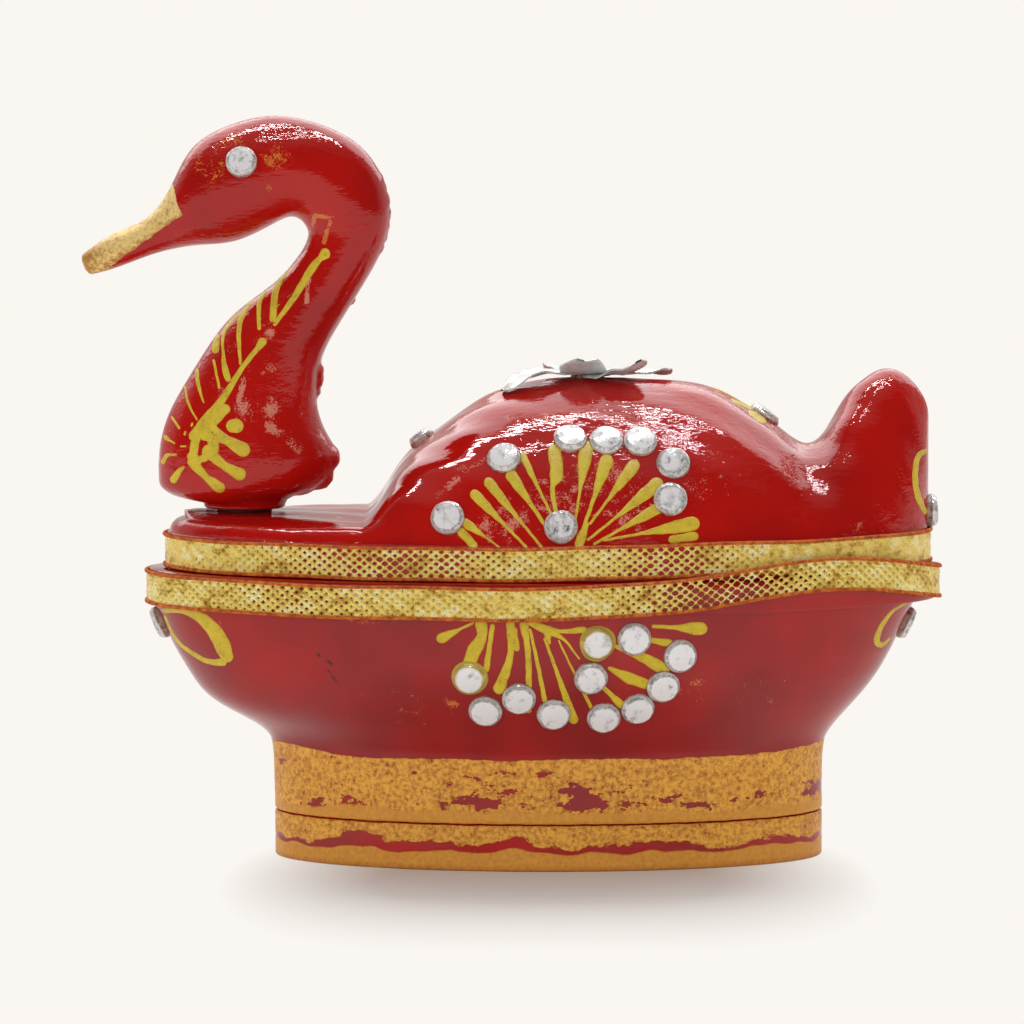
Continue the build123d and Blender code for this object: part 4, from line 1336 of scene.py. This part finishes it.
def stone_piece(
    name, nodes, body, carrier, seed, cloudy=(0.2, 0.6), yellowed=(), dimmed=(), size=1.0, stand=-0.05
):
    """Gems and their glue on every seat of the given nodes, moved onto the carrier's nearest place
    and standing off it by stand. Cloudy is how dull the foil has gone at least and at most, and
    yellowed and dimmed list the (x, z) of stones with paint round them or with spoilt foil."""
    draw = np.random.default_rng(seed)
    made = {"gems": [], "glue": []}
    for centre, axis in [seat for node in nodes for seat in stone_seats(node)]:
        _, nearest, outward, _ = carrier.closest_point_on_mesh(Vector(centre * MM))
        axis = np.array(outward) * np.sign(np.dot(outward, axis))
        centre = np.array(nearest) / MM + axis * stand
        lean = axis + draw.normal(0, 0.05, 3)
        lean /= np.linalg.norm(lean)
        dull = draw.uniform(*cloudy)
        if any(np.hypot(centre[0] - x, centre[2] - z) < spoilt_reach for x, z in dimmed):
            dull = spoilt
        yellow = float(any(np.hypot(centre[0] - x, centre[2] - z) < paint_reach for x, z in yellowed))
        shapes = (("gems", gem(draw), lean), ("glue", glue_dab(draw, 0.03 + 0.07 * yellow, stand), axis))
        for kind, (points, faces, far), way in shapes:
            right, up = facing(way)
            spin = draw.uniform(0, 2 * np.pi)
            turned = np.cos(spin) * right + np.sin(spin) * up, np.cos(spin) * up - np.sin(spin) * right
            placed = centre + (points * [size, size, 1]) @ np.array([*turned, way])
            made[kind].append((placed, faces, far, 0 * far + dull, 0 * far + yellow))
    for kind, stones in made.items():
        points, faces, *marks = zip(*stones)
        starts = np.cumsum([0] + [len(part) for part in points]).tolist()
        faces = [[corner + start for corner in face] for part, start in zip(faces, starts) for face in part]
        marks = {mark: np.concatenate(part) for mark, part in zip(("far_out", "dull", "yellow"), marks)}
        points = np.concatenate(points)
        if kind == "gems":
            piece = mesh_piece(name, points, faces, acrylic, body, nodes, marks)
        else:
            piece = mesh_piece(name + "_glue", points, faces, glue_finish, body, (), marks)
        piece.data.set_sharp_from_angle(angle=np.radians(9 if kind == "gems" else 40))


stone = Finish("foil_backed_acrylic", Roughness=0.18, IOR=1.49)
far_out = stone.mark("far_out") + (stone.noise(0.9, 2.0, 0.6) - 0.5) * 0.14 + stone.mark("dull") * 0.10
stone_cloud = stone.noise(1.3, 2.0, 0.6) + stone.mark("dull") * 0.16
stone_speck = stone.noise(0.45, 2.0, 0.6)
table_colour = stone.mix((0.90, 0.885, 0.90), (0.58, 0.57, 0.59), stone_cloud.ramp(0.56, 0.72))
table_colour = stone.mix(table_colour, (0.10, 0.10, 0.11), (stone_cloud + stone_speck * 0.5).ramp(1.00, 1.08))
# The ring of facets is grey with light and dark flecks: a painted reflection of the facets
ring_painted_reflection = stone.mix((0.78, 0.75, 0.75), (0.40, 0.38, 0.39), stone_speck.ramp(0.40, 0.62))
in_ring = far_out.ramp(0.80, 0.86)
stone_colour = stone.mix(table_colour, ring_painted_reflection, in_ring)
# A pale line round the stone's side: a painted highlight
stone_colour = stone.mix(stone_colour, (0.78, 0.74, 0.71), stone.mark("far_out").ramp(0.95, 0.98) * 0.8)
painted_rim = stone.mark("yellow") * far_out.ramp(0.70, 0.90) * 0.9
stone_colour = stone.mix(stone_colour, (0.66, 0.50, 0.10), painted_rim)
stone.set(Base_Color=stone_colour, Metallic=in_ring * 0.2 + 0.10, Normal=stone.bump(stone_speck, 0.03))
acrylic = stone.material
glue = Finish("dried_glue", Roughness=0.35, IOR=1.45)
glue_tone = glue.noise(0.8, 3.0, 0.6).ramp(0.35, 0.62)
glue_colour = glue.mix((0.16, 0.05, 0.03), (0.48, 0.36, 0.30), glue_tone)
glue.set(
    Base_Color=glue.mix(glue_colour, (0.58, 0.40, 0.05), glue.mark("yellow")),
    Normal=glue.bump(glue_tone, 0.06),
)
glue_finish = glue.material
stone_piece(
    "lid_fan_stones", ["lid_fan_stones_left", "lid_fan_stones_right"], "lid", lid, 31,
    dimmed=((17.9, 59.3), (17.6, 54.5)),
)
stone_piece(
    "lid_centre_stones", ["lid_fan_centre_left", "lid_fan_centre_right"], "lid", lid, 32, cloudy=(0.9, 1.0)
)
stone_piece(
    "hull_fan_stones", ["base_fan_stones_left", "base_fan_stones_right"], "base", hull, 33,
    cloudy=(0.0, 0.25), yellowed=((-11.3, 27.6), (7.2, 33.6)),
)
stone_piece("eye_stones", ["eye_stone_left", "eye_stone_right"], "base", neck, 34, size=0.94)
stone_piece("shoulder_gem", ["shoulder_stone"], "lid", lid, 35, size=0.8, stand=0.25)
stone_piece("back_gem", ["back_stone"], "lid", lid, 38)
stone_piece("tail_gem", ["tail_stone"], "lid", lid, 35, stand=0.30)
stone_piece("hull_end_stones", ["bow_stone", "stern_stone"], "base", hull, 36, stand=0.30)

# ---------------------------------------------------------------------------------------------
# Crown flower: six petals stamped from silvered foil, glued on the top of the back by their
# points and bent up by hand, with one stone over their middle.
# ---------------------------------------------------------------------------------------------
crown_low, crown_high = (np.array(corner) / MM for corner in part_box("crown_petals"))
crown_x = (crown_low[0] + crown_high[0]) / 2
foil_thickness = 0.28
petal_rows = 34
petal_columns = 19
petal_widest = 0.62
petal_gap = 0.08
petal_layer = 0.06
# Turn from the tail's side in degrees, length, width, curl, lift, steepness and droop
foil_petals = (
    (62, 9.6, 7.2, 0.5, 2.0, 1.6, 0),
    (15, 12.4, 7.0, 0.5, 1.2, 1.0, 0),
    (120, 9.6, 6.8, 1.4, 2.3, 1.6, 0),
    (204, 13.4, 6.8, 0.5, 2.8, 1.0, 1),
    (-48, 10.4, 8.0, 0.2, 4.0, 2.4, 0),
    (262, 8.4, 7.0, 0.3, 4.2, 2.2, 0),
)


def foil_petal(length, width, curl, lift, steep, droop, draw):
    """One petal on a grid: u runs from its point to its tip and v across. Its outline is a long
    egg, its sides curl up as v squared, and it bends off the wood as u to the power of steep, and
    back down to it where droop is 1."""
    u, v = np.meshgrid(np.linspace(0, 1, petal_rows), np.linspace(-1, 1, petal_columns), indexing="ij")
    reach = np.where(u < petal_widest, 0.66, 0.385)
    outline = np.sqrt(np.clip(1 - ((u - petal_widest) / reach) ** 2, 0, None))
    x = 0.4 + length * u
    y = width / 2 * outline * v
    z = lift * u**steep * (1 - droop * u**3) + curl * (v * outline) ** 2 * u
    for _ in range(6):
        way, phase = draw.uniform(-1, 1, 2), draw.uniform(0, 6)
        z = z + draw.uniform(0.08, 0.20) * np.sin(1.3 * (x * way[0] + y * way[1] * 1.6) + phase) * u
    return x, y, np.clip(z, 0.02, None)


silver = Finish("silvered_foil")
silver_cloud = silver.noise(1.6, 3.0, 0.6)
silver_normal = silver.node("TexCoord", output="Normal")
facing_up = silver.node("SeparateXYZ", {0: silver_normal}, output=2).ramp(-0.1, 0.1)
# Faces that look down are matte and tinted cyan to cancel the red light that the dome throws on them: painted
# light. Faces that look up are metallic silver.
silver.set(
    Base_Color=silver.mix(
        silver.mix((0.78, 0.88, 0.87), (0.60, 0.68, 0.67), silver_cloud.ramp(0.42, 0.62)),
        silver.mix((0.66, 0.65, 0.63), (0.42, 0.41, 0.40), silver_cloud.ramp(0.45, 0.60)),
        facing_up,
    ),
    Metallic=facing_up * 0.5,
    Roughness=0.62 - facing_up * 0.25,
    Normal=silver.bump(silver.noise(0.7, 3.0, 0.6), 0.08),
)
petal_draw = np.random.default_rng(41)
petal_points, petal_faces, petal_count = [], [], 0
for layer, (turn, *shape) in enumerate(foil_petals):
    along, sideways, off = foil_petal(*shape, petal_draw)
    angle = np.radians(turn)
    x = crown_x + along * np.cos(angle) - sideways * np.sin(angle)
    y = along * np.sin(angle) + sideways * np.cos(angle)
    wood = on_surface(np.stack([x.ravel(), y.ravel()], axis=-1), lid, [0, 1], 90)[:, 2].reshape(x.shape)
    under = wood + petal_gap + petal_layer * layer + off
    bottom = np.stack([x, y, under], axis=-1)
    ring = np.concatenate([bottom + [0, 0, foil_thickness], bottom[:, ::-1]], axis=1)
    petal_points.append(ring.reshape(-1, 3))
    petal_faces += grid_faces(*ring.shape[:2], start=petal_count)
    petal_count += ring.shape[0] * ring.shape[1]
mesh_piece(
    "crown_petals_foil", np.concatenate(petal_points), petal_faces, silver.material,
    "lid", ["crown_petals"],
)
stone_piece("crown_gem", ["crown_stone"], "lid", lid, 37, stand=0.70)

# ---------------------------------------------------------------------------------------------
# Studio: a pale cream floor that runs into a backdrop of the same colour, soft boxes above and
# in front, and a long lens a little above the lid, tilted down onto the middle of the box.
# ---------------------------------------------------------------------------------------------
cream = (0.956, 0.922, 0.880)
camera_place = Vector((-0.0054, -0.850, 0.1241))
camera_tilt = 4.939
floor_reach = 6

floor_mesh = bpy.data.meshes.new("studio_floor")
floor_corners = [(floor_reach * x, floor_reach * y, 0) for x, y in ((-1, -1), (1, -1), (1, 1), (-1, 1))]
floor_mesh.from_pydata(floor_corners, [], [(0, 1, 2, 3)])
floor = in_scene("studio_floor", floor_mesh)
floor_finish = Finish("cream_floor", Roughness=0.9, Base_Color=(0.80, 0.772, 0.735, 1.0))
shine = floor_finish.node("Emission", {"Color": (*cream, 1.0), "Strength": 1.0})
seen = floor_finish.node("LightPath", output="Is Camera Ray")
seen = seen.most(floor_finish.node("LightPath", output="Is Glossy Ray"))
seen = seen.most(floor_finish.node("LightPath", output="Is Transmission Ray"))
floor_axes = floor_finish.axes()
# Past an oval about the foot the floor shines by itself, so that it has no edge or horizon
floor_x, floor_y = floor_axes[0] / 46, (floor_axes[1] + 30) / 58
floor_x = floor_x * floor_x
share = (floor_x * floor_x + floor_y * floor_y).math("SQRT").ramp(0.30, 1.06) * 0.97 + 0.03
blend = floor_finish.node("MixShader", {0: seen * share, 2: shine})
floor_finish.tree.links.new(floor_finish.shader.outputs[0], blend.socket.node.inputs[1])
output = floor_finish.tree.nodes["Material Output"]
floor_finish.tree.links.new(blend.socket, output.inputs["Surface"])
floor_mesh.materials.append(floor_finish.material)

world = bpy.data.worlds.new("studio")
world.use_nodes = True
bpy.context.scene.world = world
sky = world.node_tree
room_light = 0.54
lit_point = (0, 0, 0.05)


def sky_node(kind, inputs=(), **settings):
    """Add a node to the world, with a value or a link for each input."""
    node = sky.nodes.new("ShaderNode" + kind)
    for name, value in settings.items():
        setattr(node, name, value)
    for key, value in dict(inputs).items():
        if isinstance(value, bpy.types.NodeSocket):
            sky.links.new(value, node.inputs[key])
        else:
            node.inputs[key].default_value = value
    return node.outputs[0]


rays = sky.nodes.new("ShaderNodeLightPath")
looked_through = {0: rays.outputs["Is Camera Ray"], 1: rays.outputs["Is Transmission Ray"]}
clear = sky_node("Math", looked_through, operation="MAXIMUM")
# Reflections see the pale wall behind and above, and a dim room on the camera's side
way = sky.nodes.new("ShaderNodeSeparateXYZ")
sky.links.new(sky.nodes.new("ShaderNodeTexCoord").outputs["Generated"], way.inputs[0])
# For each: the axis, where the change starts and ends, and the brightness at either side of it
back = {0: way.outputs[1], 1: -0.10, 2: 0.50, 3: 0.05, 4: 0.66}
above = {0: way.outputs[2], 1: 0.60, 2: 0.97, 3: 0.0, 4: 0.50}
glow = [sky_node("MapRange", reach, interpolation_type="SMOOTHSTEP") for reach in (back, above)]
pale_wall = sky_node("Math", dict(enumerate(glow)), operation="MAXIMUM")
mirrored = sky_node("Background", {"Color": (*cream, 1.0), "Strength": pale_wall})
plain = sky_node("Background", {"Color": (1.0, 0.985, 0.96, 1.0), "Strength": room_light})
seen_clear = sky_node("Background", {"Color": (*cream, 1.0), "Strength": 1.0})
lit = sky_node("MixShader", {0: rays.outputs["Is Glossy Ray"], 1: plain, 2: mirrored})
final = sky_node("MixShader", {0: clear, 1: lit, 2: seen_clear})
sky.links.new(final, sky.nodes["World Output"].inputs["Surface"])


def soft_box(name, place, width, height, power):
    """A rectangular lamp, placed in metres and turned to the middle of the box."""
    lamp = bpy.data.lights.new(name, "AREA")
    lamp.shape = "RECTANGLE"
    lamp.size = width
    lamp.size_y = height
    lamp.energy = power
    holder = in_scene(name, lamp)
    holder.location = place
    holder.rotation_mode = "QUATERNION"
    holder.rotation_quaternion = (Vector(lit_point) - Vector(place)).to_track_quat("-Z", "Y")
    return holder


soft_box("ceiling_box", (0.0, 0.75, 0.85), 2.2, 1.1, 15.0)
soft_box("fill_box", (-0.4, -1.5, 0.50), 1.4, 1.0, 5.0).visible_glossy = False
# Lamps that only show as highlights: two tubes above, and a dim screen beside the camera
soft_box("back_tube", (0.0, 0.12, 0.85), 0.9, 0.030, 6.0).visible_diffuse = False
soft_box("front_tube", (0.1, -0.13, 0.85), 0.5, 0.018, 2.2).visible_diffuse = False
soft_box("screen", (-0.4, -1.5, 0.50), 1.4, 1.0, 1.3).visible_diffuse = False

lens = bpy.data.cameras.new("camera")
lens.sensor_width = 36
lens.lens = 203.55
lens.clip_start = 0.01
camera = in_scene("camera", lens)
camera.location = camera_place
camera.rotation_euler = (np.radians(90 - camera_tilt), 0, 0)
bpy.context.scene.camera = camera
bpy.context.scene.view_settings.view_transform = "Standard"
